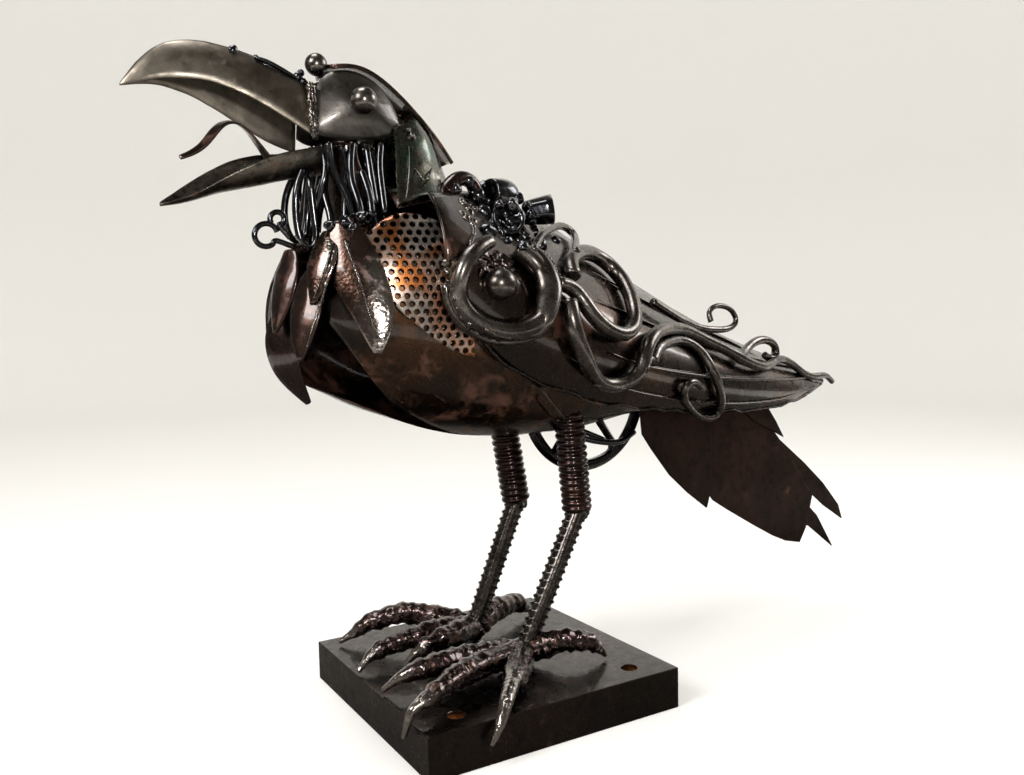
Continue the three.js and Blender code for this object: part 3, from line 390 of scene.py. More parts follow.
def node_copy(name):
    """The solid of a node, with its loose triangles joined into flat faces."""
    bm = bmesh.new()
    bm.from_mesh(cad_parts[name].data)
    bmesh.ops.remove_doubles(bm, verts=bm.verts, dist=SOLID_MERGE)
    bmesh.ops.dissolve_limit(bm, angle_limit=math.radians(1.0), verts=bm.verts, edges=bm.edges)
    bmesh.ops.triangulate(bm, faces=bm.faces)
    bmesh.ops.join_triangles(
        bm, faces=bm.faces, angle_face_threshold=math.radians(50), angle_shape_threshold=math.radians(100))
    return bm


def roughen(bm, amount, size):
    """Moves each vertex a little along its normal, by smooth noise."""
    bm.normal_update()
    for v in bm.verts:
        v.co += v.normal * amount * noise.noise(v.co / size)


def refined(node_name, material, slot, sharp=38, swell=0.0, wave=0.0, wave_size=0.02, shine=None):
    """A smooth copy of a node: rims stay crisp and broad faces become round."""
    bm = node_copy(node_name)
    # This mask paints a highlight on the breast feathers.
    if shine:
        polish_and_highlight = bm.verts.layers.float.new("polish_and_highlight")
        for v in bm.verts:
            v[polish_and_highlight] = shine(v.co)
    crease = bm.edges.layers.float.new("crease_edge")
    for edge in bm.edges:
        if len(edge.link_faces) == 2 and edge.calc_face_angle() > math.radians(sharp):
            edge[crease] = RIM_CREASE
    if swell:
        bm.normal_update()
        for v in bm.verts:
            v.co += v.normal * swell
    piece = piece_from(node_name + "_skin", bm)
    smooth_modifier(piece, settings().smoothing)
    if wave:
        texture = bpy.data.textures.new(node_name + "_dents", "CLOUDS")
        texture.noise_scale = wave_size
        push = piece.modifiers.new("Dents", "DISPLACE")
        push.texture = texture
        push.texture_coords = "LOCAL"
        push.strength = wave
        push.mid_level = 0.5
    return place(piece, material, slot, node_name)


def smooth_modifier(piece, levels):
    smooth = piece.modifiers.new("Smooth", "SUBSURF")
    smooth.levels = smooth.render_levels = levels


def clamped(share):
    return min(max(share, 0), 1)


def curve_points(places, count):
    """Evenly spread points on a smooth curve through the places."""
    points = [Vector(p) for p in places]
    ends = [points[0] * 2 - points[1]] + points + [points[-1] * 2 - points[-2]]
    dense = []
    for i in range(1, len(ends) - 2):
        a, b, c, d = ends[i - 1:i + 3]
        for k in range(24):
            t = k / 24
            dense.append(0.5 * ((2 * b) + (c - a) * t + (2 * a - 5 * b + 4 * c - d) * t * t
                                + (3 * b - a - 3 * c + d) * t ** 3))
    dense.append(points[-1])
    gone = [0.0]
    for p, q in zip(dense, dense[1:]):
        gone.append(gone[-1] + (q - p).length)
    result, i = [], 0
    for k in range(count):
        want = gone[-1] * k / (count - 1)
        while i < len(gone) - 2 and gone[i + 1] < want:
            i += 1
        share = (want - gone[i]) / max(gone[i + 1] - gone[i], 1e-9)
        result.append(dense[i].lerp(dense[i + 1], clamped(share)))
    return result, gone[-1]


def sweep(bm, places, radius_at, sides=12, count=40, flat=1.0, up=None):
    """Carries a circle along a curve by extruding its edge, and closes both ends.

    The radius is a number, or a function of the share of the way and the whole length.
    """
    points, length = curve_points(places, count)
    side = None
    ring = None
    for i, p in enumerate(points):
        ahead = points[min(i + 1, count - 1)] - points[max(i - 1, 0)]
        ahead.normalize()
        if side is None:
            side = (up or Vector((0.3, 0.5, 0.8))).cross(ahead).normalized()
        side = (side - ahead * side.dot(ahead)).normalized()
        turn = Matrix((side, ahead.cross(side), ahead)).transposed().to_4x4()
        radius = radius_at(i / (count - 1), length) if callable(radius_at) else radius_at
        shape = Matrix.Translation(p) @ turn @ Matrix.Diagonal((radius, radius * flat, 1, 1))
        if ring is None:
            made = bmesh.ops.create_circle(bm, cap_ends=True, radius=1, segments=sides)
            ring = made["verts"]
            edges = list({e for v in ring for e in v.link_edges})
            first = Matrix.Identity(4)
        else:
            made = bmesh.ops.extrude_edge_only(bm, edges=edges)
            ring = [g for g in made["geom"] if isinstance(g, bmesh.types.BMVert)]
            edges = [g for g in made["geom"] if isinstance(g, bmesh.types.BMEdge)
                     and all(v in ring for v in g.verts)]
        back = first.inverted()
        for v in ring:
            v.co = shape @ (back @ v.co)
        first = shape
    bmesh.ops.contextual_create(bm, geom=edges)


def rods(name, rows, material, slot, *nodes, **how):
    """A piece of swept rods or strips, each a row of its places and its radius."""
    bm = bmesh.new()
    for places, radius_at in rows:
        sweep(bm, places, radius_at, **how)
    finished(name, bm, material, slot, *nodes)


# The solids that rods, beads and strips lie on, and the photograph's view of them

CAMERA_PLACE = Vector((0.603565, -0.336513, 0.291558))
CAMERA_TURN = (59.063, 4.637, -1.206)
CAMERA_FOCUS = 920.483
PHOTO_WIDTH, PHOTO_HEIGHT = 1024, 775


def camera_axes():
    azimuth, pitch, roll = (math.radians(a) for a in CAMERA_TURN)
    back = Vector((math.sin(azimuth) * math.cos(pitch), -math.cos(azimuth) * math.cos(pitch),
                   math.sin(pitch)))
    right = Vector((math.cos(azimuth), math.sin(azimuth), 0))
    up = back.cross(right)
    c, s = math.cos(roll), math.sin(roll)
    return right * c + up * s, up * c - right * s, back


def at_side(u, v, x):
    """The place that the photograph shows at a pixel, at a distance to the bird's left."""
    ray = pixel_ray(u, v)
    return CAMERA_PLACE + ray * ((x - CAMERA_PLACE.x) / ray.x)


SEEN = {}


def solid_tree(names=None):
    key = tuple(names or ())
    if key not in SEEN:
        bm = bmesh.new()
        for name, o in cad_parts.items():
            if names is None or name in names:
                bm.from_mesh(o.data)
        SEEN[key] = BVHTree.FromBMesh(bm)
        bm.free()
    return SEEN[key]


def pixel_ray(u, v):
    right, up, back = camera_axes()
    ray = right * (u - PHOTO_WIDTH / 2) + up * (PHOTO_HEIGHT / 2 - v) - back * CAMERA_FOCUS
    return ray.normalized()


def photo_ray(u, v, names):
    """Where the ray through a pixel meets some solids, with the normal there, or None."""
    hit, normal, _, _ = solid_tree(names).ray_cast(CAMERA_PLACE, pixel_ray(u, v))
    return None if hit is None else (hit, normal)


def seen(u, v, lift=0.0, names=None):
    """The place on the solids that the photograph shows at a pixel."""
    ray = pixel_ray(u, v)
    hit, normal, _, _ = solid_tree(names).ray_cast(CAMERA_PLACE, ray)
    if hit is None:
        hit, normal, _, _ = solid_tree(names).find_nearest(CAMERA_PLACE + ray * 0.75)
    if normal.dot(ray) > 0:
        normal = -normal
    return hit + normal * lift


def from_side(y, z, names, side):
    """Where a ray from one side first meets some solids, with the normal there."""
    hit, normal, _, _ = solid_tree(names).ray_cast(Vector((side * 0.3, y, z)), Vector((-side, 0, 0)))
    return hit, normal


def across(y, z, lift=0.0, names=("left_wing",), side=1):
    """The place on a side of some solids at a place along the raven and a height."""
    hit, normal = from_side(y, z, names, side)
    if hit is None:
        hit, normal, _, _ = solid_tree(names).find_nearest(Vector((side * 0.08, y, z)))
    if normal.x * side < 0:
        normal = -normal
    return hit + normal * lift


def box_middle(name):
    low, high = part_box(name)
    return (Vector(low) + Vector(high)) / 2


def bead(bm, places, radius, seed=1):
    """A weld bead: a swept worm with ripples and uneven width."""
    _, length = curve_points(places, 12)
    rng = random.Random(seed)
    phase = rng.random() * 10
    count = max(int(length / (radius * 0.45)), 8)

    def thick(share, whole):
        ripple = abs(math.sin(share * whole / (radius * 1.5) * math.pi + phase))
        lump = noise.noise(Vector((share * whole / (6 * MM) + phase, seed, 0)))
        end = min(share, 1 - share) * whole / radius
        return radius * (0.78 + 0.26 * ripple + 0.35 * lump) * min(0.35 + end * 0.6, 1)

    sweep(bm, places, thick, sides=8, count=count)


def beads(name, paths, radius=None, material="Weld metal"):
    """A piece of several weld beads."""
    bm = bmesh.new()
    for i, path in enumerate(paths):
        bead(bm, path, radius or settings().weld, seed=i + 1)
    finished(name, bm, material, "oiled_steel")


def turned(bm, profile, a, b, steps=24):
    """Spins a profile of (radius, share of the way from a to b) round the line from a to b."""
    a, b = Vector(a), Vector(b)
    axis = b - a
    turn = axis.to_track_quat("Z", "Y").to_matrix().to_4x4()
    verts = [bm.verts.new((max(r, 0.0), 0, share * axis.length)) for r, share in profile]
    edges = [bm.edges.new(pair) for pair in zip(verts, verts[1:])]
    bmesh.ops.spin(bm, geom=verts + edges, cent=(0, 0, 0), axis=(0, 0, 1), angle=2 * math.pi,
                   steps=steps, use_merge=True, use_duplicate=False)
    made = [v for v in bm.verts if not v.tag]
    bmesh.ops.remove_doubles(bm, verts=made, dist=SPUN_MERGE)
    made = [v for v in bm.verts if not v.tag]
    bmesh.ops.transform(bm, matrix=Matrix.Translation(a) @ turn, verts=made)
    for v in made:
        v.tag = True


def lump(bm, middle, size, depth, grain):
    """A ball with an uneven surface."""
    made = bmesh.ops.create_icosphere(bm, subdivisions=3, radius=size, matrix=Matrix.Translation(middle))
    for vert in made["verts"]:
        vert.co += vert.normal * depth * noise.noise(vert.co / grain)


def ball(name, middle, radius):
    """A bright steel ball in place of a node."""
    bm = bmesh.new()
    bmesh.ops.create_uvsphere(bm, u_segments=32, v_segments=20, radius=radius,
                              matrix=Matrix.Translation(middle))
    place(piece_from(name + "_steel", bm), "Bright steel", "bright_steel", name)


def soften(bm, offset, segments):
    """Rounds the hard edges of a plate a little."""
    hard = [e for e in bm.edges if len(e.link_faces) == 2 and e.calc_face_angle() > HARD_EDGE]
    bmesh.ops.bevel(bm, geom=hard, offset=offset, offset_type="OFFSET", segments=segments,
                    profile=0.5, affect="EDGES", material=-1)


def lumps(name, pixels, small, large, seed, sink=0.0, material="Gunmetal", slot="gunmetal_steel"):
    """Lumps of weld metal at places that the photograph shows."""
    rng = random.Random(seed)
    bm = bmesh.new()
    for u, v in pixels:
        size = rng.uniform(small, large) * MM
        lump(bm, seen(u, v, -sink * size), size, 1.2 * MM, 3.5 * MM)
    finished(name, bm, material, slot)


class RavenOperator(bpy.types.Operator):
    """Makes pieces of the raven."""

    bl_options = {"REGISTER", "UNDO"}

    def execute(self, context):
        make_finishes(colours())
        self.make()
        return {"FINISHED"}


class RAVEN_OT_plinth(RavenOperator):
    """The square plate with softened edges and two screw holes"""

    bl_idname = "raven.plinth"
    bl_label = "Plinth"

    def make(self):
        bm = node_copy("plinth")
        bmesh.ops.dissolve_limit(bm, angle_limit=math.radians(2), verts=bm.verts, edges=bm.edges)
        soften(bm, PLINTH_EDGE, 3)
        piece = place(piece_from("plinth_plate", bm), "Plinth steel", "plinth_steel", "plinth", smooth=False)
        angle = piece.modifiers.new("Crisp", "WEIGHTED_NORMAL")
        angle.keep_sharp = True


LEGS = {
    "left": ((32, 55, 216), (32, 62, 140), (34, 10, 40)),
    "right": ((-32, 34, 212), (-32, 46, 139), (-32, 4, 40)),
}


class RAVEN_OT_legs(RavenOperator):
    """Thighs wound as a coil over shanks of ribbed bar, with the welds of knees and ankles"""

    bl_idname = "raven.legs"
    bl_label = "Legs"

    def make(self):
        s = settings()
        for side, (hip, knee, ankle) in LEGS.items():
            hip, knee, ankle = (Vector(p) * MM for p in (hip, knee, ankle))
            bm = bmesh.new()
            length = (ankle - knee).length
            ribs = round(length / s.rib_pitch)
            turned(bm, [(0, 0)] + [(s.shank, i / (ribs * 8)) for i in range(ribs * 8 + 1)] + [(0, 1)],
                   knee, ankle, steps=28)
            # Ribs stand on the bar's two sides, and a rail runs down between them
            down = (ankle - knee).normalized()
            azimuth = math.radians(CAMERA_TURN[0])
            front = Vector((math.sin(azimuth), -math.cos(azimuth), 0))
            front = (front - down * front.dot(down)).normalized()
            for v in bm.verts:
                from_axis = v.co - knee
                gone = from_axis.dot(down)
                from_axis -= down * gone
                if from_axis.length < s.shank * 0.5:
                    continue
                facing = from_axis.normalized().dot(front)
                beside = clamped((0.86 - abs(facing)) / 0.3)
                rise = max(math.cos(2 * math.pi * (gone + 1.6 * MM * facing) / (length / ribs)), 0) ** 1.6
                rail = clamped((abs(facing) - 0.84) / 0.06)
                v.co += from_axis.normalized() * (s.rib * rise * beside + RAIL_HEIGHT * rail)
            for joint, size, seed in ((knee, KNEE_WELD, 2), (ankle, ANKLE_WELD, 5)):
                made = bmesh.ops.create_icosphere(bm, subdivisions=4, radius=size,
                                                  matrix=Matrix.Translation(joint))
                for v in made["verts"]:
                    out = (v.co - joint).normalized()
                    rough = noise.noise(v.co / (6 * MM) + Vector((seed, 0, 0))) * 0.30
                    rough += noise.noise(v.co / (2.5 * MM) + Vector((seed, 3, 0))) * 0.12
                    v.co = joint + out * size * (0.95 + rough)
                    v.co.z = max(v.co.z, WELD_FLOOR)
                    v.tag = True
            finished(side + "_shank_bar", bm, "Leg bar steel", "oiled_steel", side + "_shank")

            bm = bmesh.new()
            turns = round((knee - hip).length / s.coil_pitch)
            profile = [(0, 0)]
            for i in range(turns * 6):
                lobe = abs(math.sin(math.pi * i / 6))
                profile.append((THIGH_CORE + THIGH_LOBE * lobe ** 0.6, i / (turns * 6)))
            profile += [(THIGH_CORE, 1), (0, 1)]
            turned(bm, profile, hip, knee, steps=28)
            for v in bm.verts:
                v.co.x += 0.4 * MM * math.sin((v.co - hip).length * 900)
            finished(side + "_thigh_coil", bm, "Coil steel", "coil_steel", side + "_thigh")


class RAVEN_OT_toes(RavenOperator):
    """Toes lumpy with weld metal, and their polished claws"""

    bl_idname = "raven.toes"
    bl_label = "Toes"

    def make(self):
        for side in ("left", "right"):
            ankle = Vector(LEGS[side][2]) * MM
            for toe in ("inner", "middle", "outer", "hind"):
                name = f"{side}_toe_{toe}"
                bm = node_copy(name)
                bmesh.ops.subdivide_edges(bm, edges=bm.edges, cuts=1, use_grid_fill=True)
                piece = piece_from(name + "_skin", bm)
                smooth_modifier(piece, 2)
                mesh = baked(piece)
                bm = bmesh.new()
                bm.from_mesh(mesh)
                bm.normal_update()
                reach = max((v.co - ankle).length for v in bm.verts)
                polish_and_highlight = bm.verts.layers.float.new("polish_and_highlight")
                seed = len(name) + ord(toe[0])
                shine = 0.5 if name == "left_toe_outer" else 0.83
                for v in bm.verts:
                    share = (v.co - ankle).length / reach
                    v[polish_and_highlight] = clamped((share - shine) / 0.10)
                    rough = 1 - v[polish_and_highlight]
                    across_toe = noise.noise(v.co / (9 * MM) + Vector((seed, 0, 0)))
                    ridges = math.sin(share * reach / (4.2 * MM) * math.pi + 2.5 * across_toe)
                    grain = noise.noise(v.co / (3.5 * MM))
                    out = 0.9 + rough * (2.4 + 1.9 * across_toe + 0.5 * ridges + 0.9 * grain)
                    v.co += v.normal * out * MM
                bm.to_mesh(mesh)
                bm.free()
                piece.data = mesh
                piece.modifiers.clear()
                place(piece, "Toe steel", "rusted_steel", name)


def baked(piece):
    """A piece's mesh with its modifiers applied."""
    made = piece.evaluated_get(bpy.context.evaluated_depsgraph_get())
    return bpy.data.meshes.new_from_object(made)


# Rows of a path of pixels and a radius in millimetres
WHEEL_BRACKETS = (
    (((541, 391), (546, 404), (556, 426)), 3.2),
    (((548, 398), (570, 424), (604, 440)), 2.2),
    (((566, 430), (590, 440), (618, 442), (634, 432)), 2.4),
)


class RAVEN_OT_shells(RavenOperator):
    """Flanks, wings, back, neck and shoulder sheets, and the wheel in the belly"""

    bl_idname = "raven.shells"
    bl_label = "Shells"

    def make(self):
        refined("left_flank", "Flank steel", "oiled_steel", wave=1.6 * MM, wave_size=50 * MM)
        refined("right_flank", "Rusty flank steel", "oiled_steel", wave=1.6 * MM, wave_size=50 * MM)
        for side in ("left", "right"):
            refined(side + "_wing", "Oiled steel", "oiled_steel", wave=1.2 * MM, wave_size=40 * MM)
        refined("back_plate", "Oiled steel", "oiled_steel", sharp=50)
        refined("left_shoulder_plate", "Flank steel", "oiled_steel", sharp=50)
        refined("neck_collar", "Greenish steel", "greenish_steel", sharp=50, wave=2.2 * MM, wave_size=14 * MM)
        refined("crown_bar", "Oiled steel", "oiled_steel", sharp=50)
        refined("belly_wheel", "Gunmetal", "gunmetal_steel", sharp=60, swell=0.6 * MM)
        brackets = []
        for path, radius in WHEEL_BRACKETS:
            places = [at_side(u, v, (30 - 12 * i / (len(path) - 1)) * MM) for i, (u, v) in enumerate(path)]
            brackets.append((places, radius * MM))
        rods("wheel_brackets", brackets, "Gunmetal", "gunmetal_steel", sides=10, count=24)


class RAVEN_OT_perforated(RavenOperator):
    """Perforated collars, cut through with staggered rows of round holes"""

    bl_idname = "raven.perforated"
    bl_label = "Perforated collars"

    def make(self):
        s = settings()
        for side, sign in (("left", 1), ("right", -1)):
            name = side + "_perforated_collar"
            piece = refined(name, "Perforated sheet", "perforated_steel", sharp=50)
            low, high = (Vector(p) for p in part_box(name))
            cutters = bmesh.new()
            row_step = s.pitch * math.sqrt(3) / 2
            rows = int((high.z - low.z) / row_step) + 1
            columns = int((high.y - low.y) / s.pitch) + 1
            for i in range(rows):
                for j in range(columns):
                    y = low.y + (j + 0.5 * (i % 2)) * s.pitch
                    hit, normal = from_side(y, low.z + i * row_step, (name,), sign)
                    if hit is None:
                        continue
                    turn = normal.to_track_quat("Z", "Y").to_matrix().to_4x4()
                    bmesh.ops.create_cone(
                        cutters, cap_ends=True, segments=HOLE_SIDES, radius1=s.hole / 2, radius2=s.hole / 2,
                        depth=HOLE_DEPTH, matrix=Matrix.Translation(hit) @ turn)
            drill = piece_from(name + "_holes", cutters)
            cut = piece.modifiers.new("Holes", "BOOLEAN")
            cut.operation = "DIFFERENCE"
            cut.solver = "MANIFOLD"
            cut.object = drill
            bpy.context.view_layer.update()
            mesh = baked(piece)
            if len(mesh.polygons) < FEWEST_HOLE_FACES:
                raise RuntimeError("the holes were not cut in " + name)
            piece.modifiers.clear()
            piece.data = mesh
            bpy.data.objects.remove(drill)
            mesh.materials.clear()
            mesh.materials.append(FINISHES["Perforated sheet"])


EYE_PLACE = Vector((29.5, -100.5, 431.6)) * MM

# Scraps along the ridge of the beak: pixels with radii, and paths of pixels with half widths
RIDGE_LUMPS = ((233, 50, 3.2), (256, 58, 2.2), (298, 77, 3.2), (303, 82, 2.8), (301, 73, 2.4))
RIDGE_STRIPS = (
    (((254, 57), (266, 61), (281, 69), (297, 78)), 3.2),
    (((262, 63), (273, 68), (284, 75)), 2.2),
)
BEAK_SEAM = ((311, 82), (312, 95), (313, 110), (314, 125), (317, 139))
CROWN_SEAM = ((400, 116), (404, 122), (408, 130), (412, 137), (398, 125))
COLLAR_CREASES = (
    ((409, 146), (408, 164), (407, 182), (406, 198)),
    ((415, 168), (424, 184), (432, 201)),
    ((433, 166), (426, 182), (417, 200)),
)


class RAVEN_OT_head(RavenOperator):
    """Beak halves, cheeks, eyes and tongue, and the creases of the collar"""

    bl_idname = "raven.head"
    bl_label = "Head"

    def make(self):
        refined("upper_beak", "Beak steel", "beak_steel", sharp=45, wave=0.6 * MM, wave_size=12 * MM)
        refined("lower_beak", "Dark beak steel", "beak_steel", sharp=45, wave=0.6 * MM, wave_size=12 * MM)
        refined("left_cheek_plate", "Head steel", "head_steel", sharp=50)
        refined("right_cheek_plate", "Head steel", "head_steel", sharp=50)
        refined("tongue", "Red blade steel", "rusted_steel", sharp=60)
        ball("left_eye", EYE_PLACE, EYE_RADIUS)
        ball("right_eye", EYE_PLACE * Vector((-1, 1, 1)), EYE_RADIUS)
        ball("forehead_ball", box_middle("forehead_ball"), FOREHEAD_BALL_RADIUS)
        # Strips and beads along the ridge of the beak, as the photograph shows them
        bm = bmesh.new()
        for u, v, size in RIDGE_LUMPS:
            lump(bm, at_side(u, v, 6 * MM), size * MM, 0.6 * MM, 3 * MM)
        for line, half in RIDGE_STRIPS:
            sweep(bm, [at_side(u, v, 7 * MM) for u, v in line],
                  lambda share, whole, h=half: h * MM * (0.6 + 0.4 * math.sin(share * math.pi)),
                  sides=10, count=24, flat=0.5)
        finished("beak_ridge_fittings", bm, "Gunmetal", "gunmetal_steel")
        bm = bmesh.new()
        seam = [at_side(u, v, 19.5 * MM) for u, v in BEAK_SEAM]
        bead(bm, seam, 3.3 * MM, seed=5)
        bead(bm, [p + Vector((1.6, -2, 0)) * MM for p in seam], 2.2 * MM, seed=8)
        finished("beak_seam_weld", bm, "Weld metal", "beak_steel")
        lumps("crown_seam_weld", CROWN_SEAM, 1.8, 3.0, 9, material="Weld metal", slot="head_steel")
        creases = [([seen(u, v, -0.2 * MM, ("neck_collar",)) for u, v in crease],
                    lambda share, whole: (0.3 + 1.1 * math.sin(math.pi * share)) * MM)
                   for crease in COLLAR_CREASES]
        rods("neck_creases", creases, "Greenish steel", "greenish_steel", sides=8, count=24)


# How much each bent rod is swollen, in millimetres
ROD_SWELLS = {"wing_ring_front": 1.9, "wing_ring_rear": 2.0, "wing_scroll_rod": 2.1, "wing_curl_upper": 0.6}
LOW_CURL = (
    (652, 362), (660, 347), (680, 340), (700, 351), (714, 373), (721, 396), (719, 411),
    (710, 418), (698, 415), (688, 405), (684, 394), (687, 385), (694, 382), (701, 387),
)
RING_PADDLE = ((517, 258), (528, 265), (537, 279), (541, 297), (538, 315), (530, 328), (518, 334))


class RAVEN_OT_wing_rods(RavenOperator):
    """Rings, scrolls and curls of bent rod on the left wing, and the bearing ball"""

    bl_idname = "raven.wing_rods"
    bl_label = "Wing rods"

    def make(self):
        for name, swell in ROD_SWELLS.items():
            refined(name, "Bright steel", "bright_steel", sharp=75, swell=swell * MM, wave=0.7 * MM,
                    wave_size=22 * MM)
        ball("bearing_ball", across(-31 * MM, 309 * MM, 3 * MM), BEARING_BALL_RADIUS)
        # The low curl hangs from the scroll, passes the wing's edge and rolls up in a small ring
        place_x = 0.06
        path = []
        for u, v in LOW_CURL:
            hit = photo_ray(u, v, ("left_wing",))
            if hit is not None:
                place_x = (hit[0] + hit[1] * math.copysign(5.5 * MM, hit[1].x)).x
            path.append(at_side(u, v, place_x))
        rods("wing_curl_low_rod", [(path, lambda share, whole: (4.3 - 1.5 * share) * MM)],
             "Bright steel", "bright_steel", "wing_curl_low", sides=14, count=72)
        # The front ring ends in a broad, flattened paddle
        paddle = ([seen(u, v, 9 * MM, ("left_wing",)) for u, v in RING_PADDLE],
                  lambda share, whole: (3.6 + 4.9 * math.sin(math.pi * share) ** 0.8) * MM)
        rods("wing_ring_paddle", [paddle], "Bright steel", "bright_steel", sides=18, count=60, flat=0.62,
             up=Vector((1, 0, 0)))
        # Rough clutter is welded inside the ring, over the ball
        rng = random.Random(21)
        clutter = [(rng.uniform(478, 512), rng.uniform(254, 274)) for _ in range(24)]
        lumps("wing_ring_clutter", clutter, 2.6, 5.0, 21, sink=0.5, material="Keel steel",
              slot="rusted_steel")


# Raised strips, as places along the raven and heights in millimetres
WING_STRIPS = (
    ((60, 262), (100, 250), (160, 240), (220, 233), (290, 228), (350, 226)),
    ((20, 262), (70, 238), (130, 224), (200, 214), (280, 211), (345, 218)),
    ((60, 300), (110, 283), (170, 266), (240, 250), (310, 238), (350, 230)),
    ((70, 322), (120, 303), (180, 281), (250, 258), (320, 241)),
)
WING_WELDS = (
    ((470, 218), (474, 232), (470, 246)),
    ((484, 328), (500, 336), (520, 338)),
    ((584, 374), (596, 384), (610, 388), (626, 388)),
    ((540, 250), (552, 262), (561, 276)),
    ((636, 384), (646, 370), (652, 356)),
    ((690, 398), (700, 402)),
    ((800, 372), (812, 380), (822, 382)),
)
# Where the wing's lower rim is felt for: start, stop and step in millimetres
RIM_SPAN, RIM_HEIGHTS = (-60, 361, 12), (150, 380, 3)


class RAVEN_OT_wing_details(RavenOperator):
    """Raised strips and weld beads over the wings"""

    bl_idname = "raven.wing_details"
    bl_label = "Wing details"

    def make(self):
        for side, sign in (("left", 1), ("right", -1)):
            wing = (side + "_wing",)
            bm = bmesh.new()
            for i, path in enumerate(WING_STRIPS):
                width = (3.4 - 0.4 * i) * MM
                sweep(bm, [across(y * MM, z * MM, 0.4 * MM, wing, sign) for y, z in path],
                      lambda share, whole, w=width: w * (0.12 + 0.88 * math.sin(math.pi * share) ** 0.6),
                      sides=10, count=60, flat=0.5)
            finished(side + "_wing_strips", bm, "Oiled steel", "oiled_steel")
            rim = []
            for y in range(*RIM_SPAN):
                for z in range(*RIM_HEIGHTS):
                    hit, _ = from_side(y * MM, z * MM, wing, sign)
                    if hit is not None:
                        rim.append(hit)
                        break
            beads(side + "_wing_rim_bead", [rim], radius=1.2 * MM, material="Oiled steel")
        beads("wing_welds", [[seen(u, v) for u, v in path] for path in WING_WELDS])


SHOULDER_LUMPS = (
    (470, 182), (482, 186), (490, 200), (500, 206), (512, 204), (520, 198), (527, 206), (506, 166),
    (538, 236), (520, 238), (508, 240), (545, 232), (456, 190), (476, 176), (532, 222), (556, 240),
    (486, 176), (494, 190), (484, 210), (496, 222), (488, 230), (502, 232), (478, 196), (518, 216),
    (526, 236), (514, 228), (534, 228), (540, 244), (524, 246), (510, 220), (504, 214), (530, 214),
)
PLATE_WELD = ((461, 200), (466, 206), (471, 212), (468, 219), (474, 222), (463, 213), (476, 208))
COLLAR_SEAM = (
    (447, 272), (449, 281), (452, 290), (455, 299), (458, 308), (463, 317), (469, 325), (477, 332),
    (446, 263), (486, 337),
)
SHOULDER_ROD = ((533, 250, 0), (540, 238, 4), (556, 232, 6), (570, 240, 5), (576, 252, 0))


class RAVEN_OT_fittings(RavenOperator):
    """Arch, bell, bowl and nut at the left shoulder, with the welds between them"""

    bl_idname = "raven.fittings"
    bl_label = "Shoulder fittings"

    def make(self):
        refined("shoulder_arch", "Keel steel", "rusted_steel", sharp=75, swell=1.2 * MM)
        refined("shoulder_bell", "Gunmetal", "gunmetal_steel", sharp=70, swell=0.4 * MM)
        refined("shoulder_bowl", "Gunmetal", "gunmetal_steel", sharp=70, swell=0.4 * MM)
        refined("shoulder_nut", "Gunmetal", "gunmetal_steel", sharp=50)
        lumps("shoulder_weld_lumps", SHOULDER_LUMPS, 3.4, 7.0, 7, sink=0.3)
        lumps("shoulder_plate_weld", PLATE_WELD, 3.0, 4.8, 3, sink=0.6, material="Weld metal",
              slot="oiled_steel")
        lumps("collar_seam_weld", COLLAR_SEAM, 1.8, 3.2, 4, sink=0.2, material="Weld metal",
              slot="oiled_steel")
        rods("shoulder_rods", [([seen(u, v, lift * MM) for u, v, lift in SHOULDER_ROD], 3.0 * MM)],
             "Bright steel", "bright_steel", sides=10, count=30)


# Curled wires: middle and reach of the curl, its turn in degrees, and the pixel that it starts from
CURL_WIRES = (
    ((266, 235), 11.5, (-30, -345), (292, 246)),
    ((277, 219), 7.0, (-70, 215), (290, 238)),
)
THROAT_LUMPS = (
    (344, 212), (345, 222), (330, 226), (362, 216), (372, 214), (380, 210), (300, 214), (352, 228),
    (336, 216),
)


class RAVEN_OT_throat(RavenOperator):
    """Rods and wires of the throat"""

    bl_idname = "raven.throat"
    bl_label = "Throat"

    def make(self):
        names = ("throat_hairpin", "throat_rod_front", "throat_rod_hooked", "throat_rod_middle",
                 "throat_rod_rear", "right_throat_rods")
        for name in names:
            refined(name, "Gunmetal", "gunmetal_steel", sharp=75, swell=0.6 * MM)
        wires = []
        for (u, v), reach, (first, last), start in CURL_WIRES:
            wire = [at_side(*start, 6 * MM)]
            for k in range(13):
                turn = math.radians(first + (last - first) * k / 12)
                wire.append(at_side(u + reach * math.cos(turn), v - reach * math.sin(turn), 5 * MM))
            wires.append((wire, 1.9 * MM))
        rods("throat_curl_wires", wires, "Gunmetal", "gunmetal_steel", "throat_curl", sides=10, count=56)
        # A dark plate stands behind the rods
        bm = bmesh.new()
        sweep(bm, [Vector((0, -96, 342)) * MM, Vector((0, -100, 368)) * MM, Vector((0, -106, 408)) * MM],
              lambda share, whole: (22 - 5 * share) * MM, sides=28, count=20, flat=0.72, up=Vector((0, 1, 0)))
        roughen(bm, 1.6 * MM, 8 * MM)
        finished("throat_inner_plate", bm, "Keel steel", "gunmetal_steel")
        # The rods that fill the throat behind the outer ones
        bm = bmesh.new()
        rng = random.Random(11)
        for i in range(15):
            turn = math.radians(-150 + i * 20)
            x, y = math.sin(turn), -math.cos(turn)
            top = Vector((x * 17, -104 + y * 22, 404))
            low = Vector((x * 30, -104 + y * 32, 345 + rng.uniform(-8, 6)))
            bend = Vector((rng.uniform(-5, 5), rng.uniform(-6, 4), rng.uniform(-4, 4)))
            middle = top.lerp(low, 0.45) + bend
            sweep(bm, [p * MM for p in (top, top.lerp(middle, 0.5) + bend * 0.4, middle,
                                        middle.lerp(low, 0.6) - bend * 0.5, low)],
                  settings().throat_rod * 1.05, sides=10, count=26)
        finished("throat_inner_rods", bm, "Gunmetal", "gunmetal_steel")
        lumps("throat_weld_lumps", THROAT_LUMPS, 2.6, 4.4, 13)


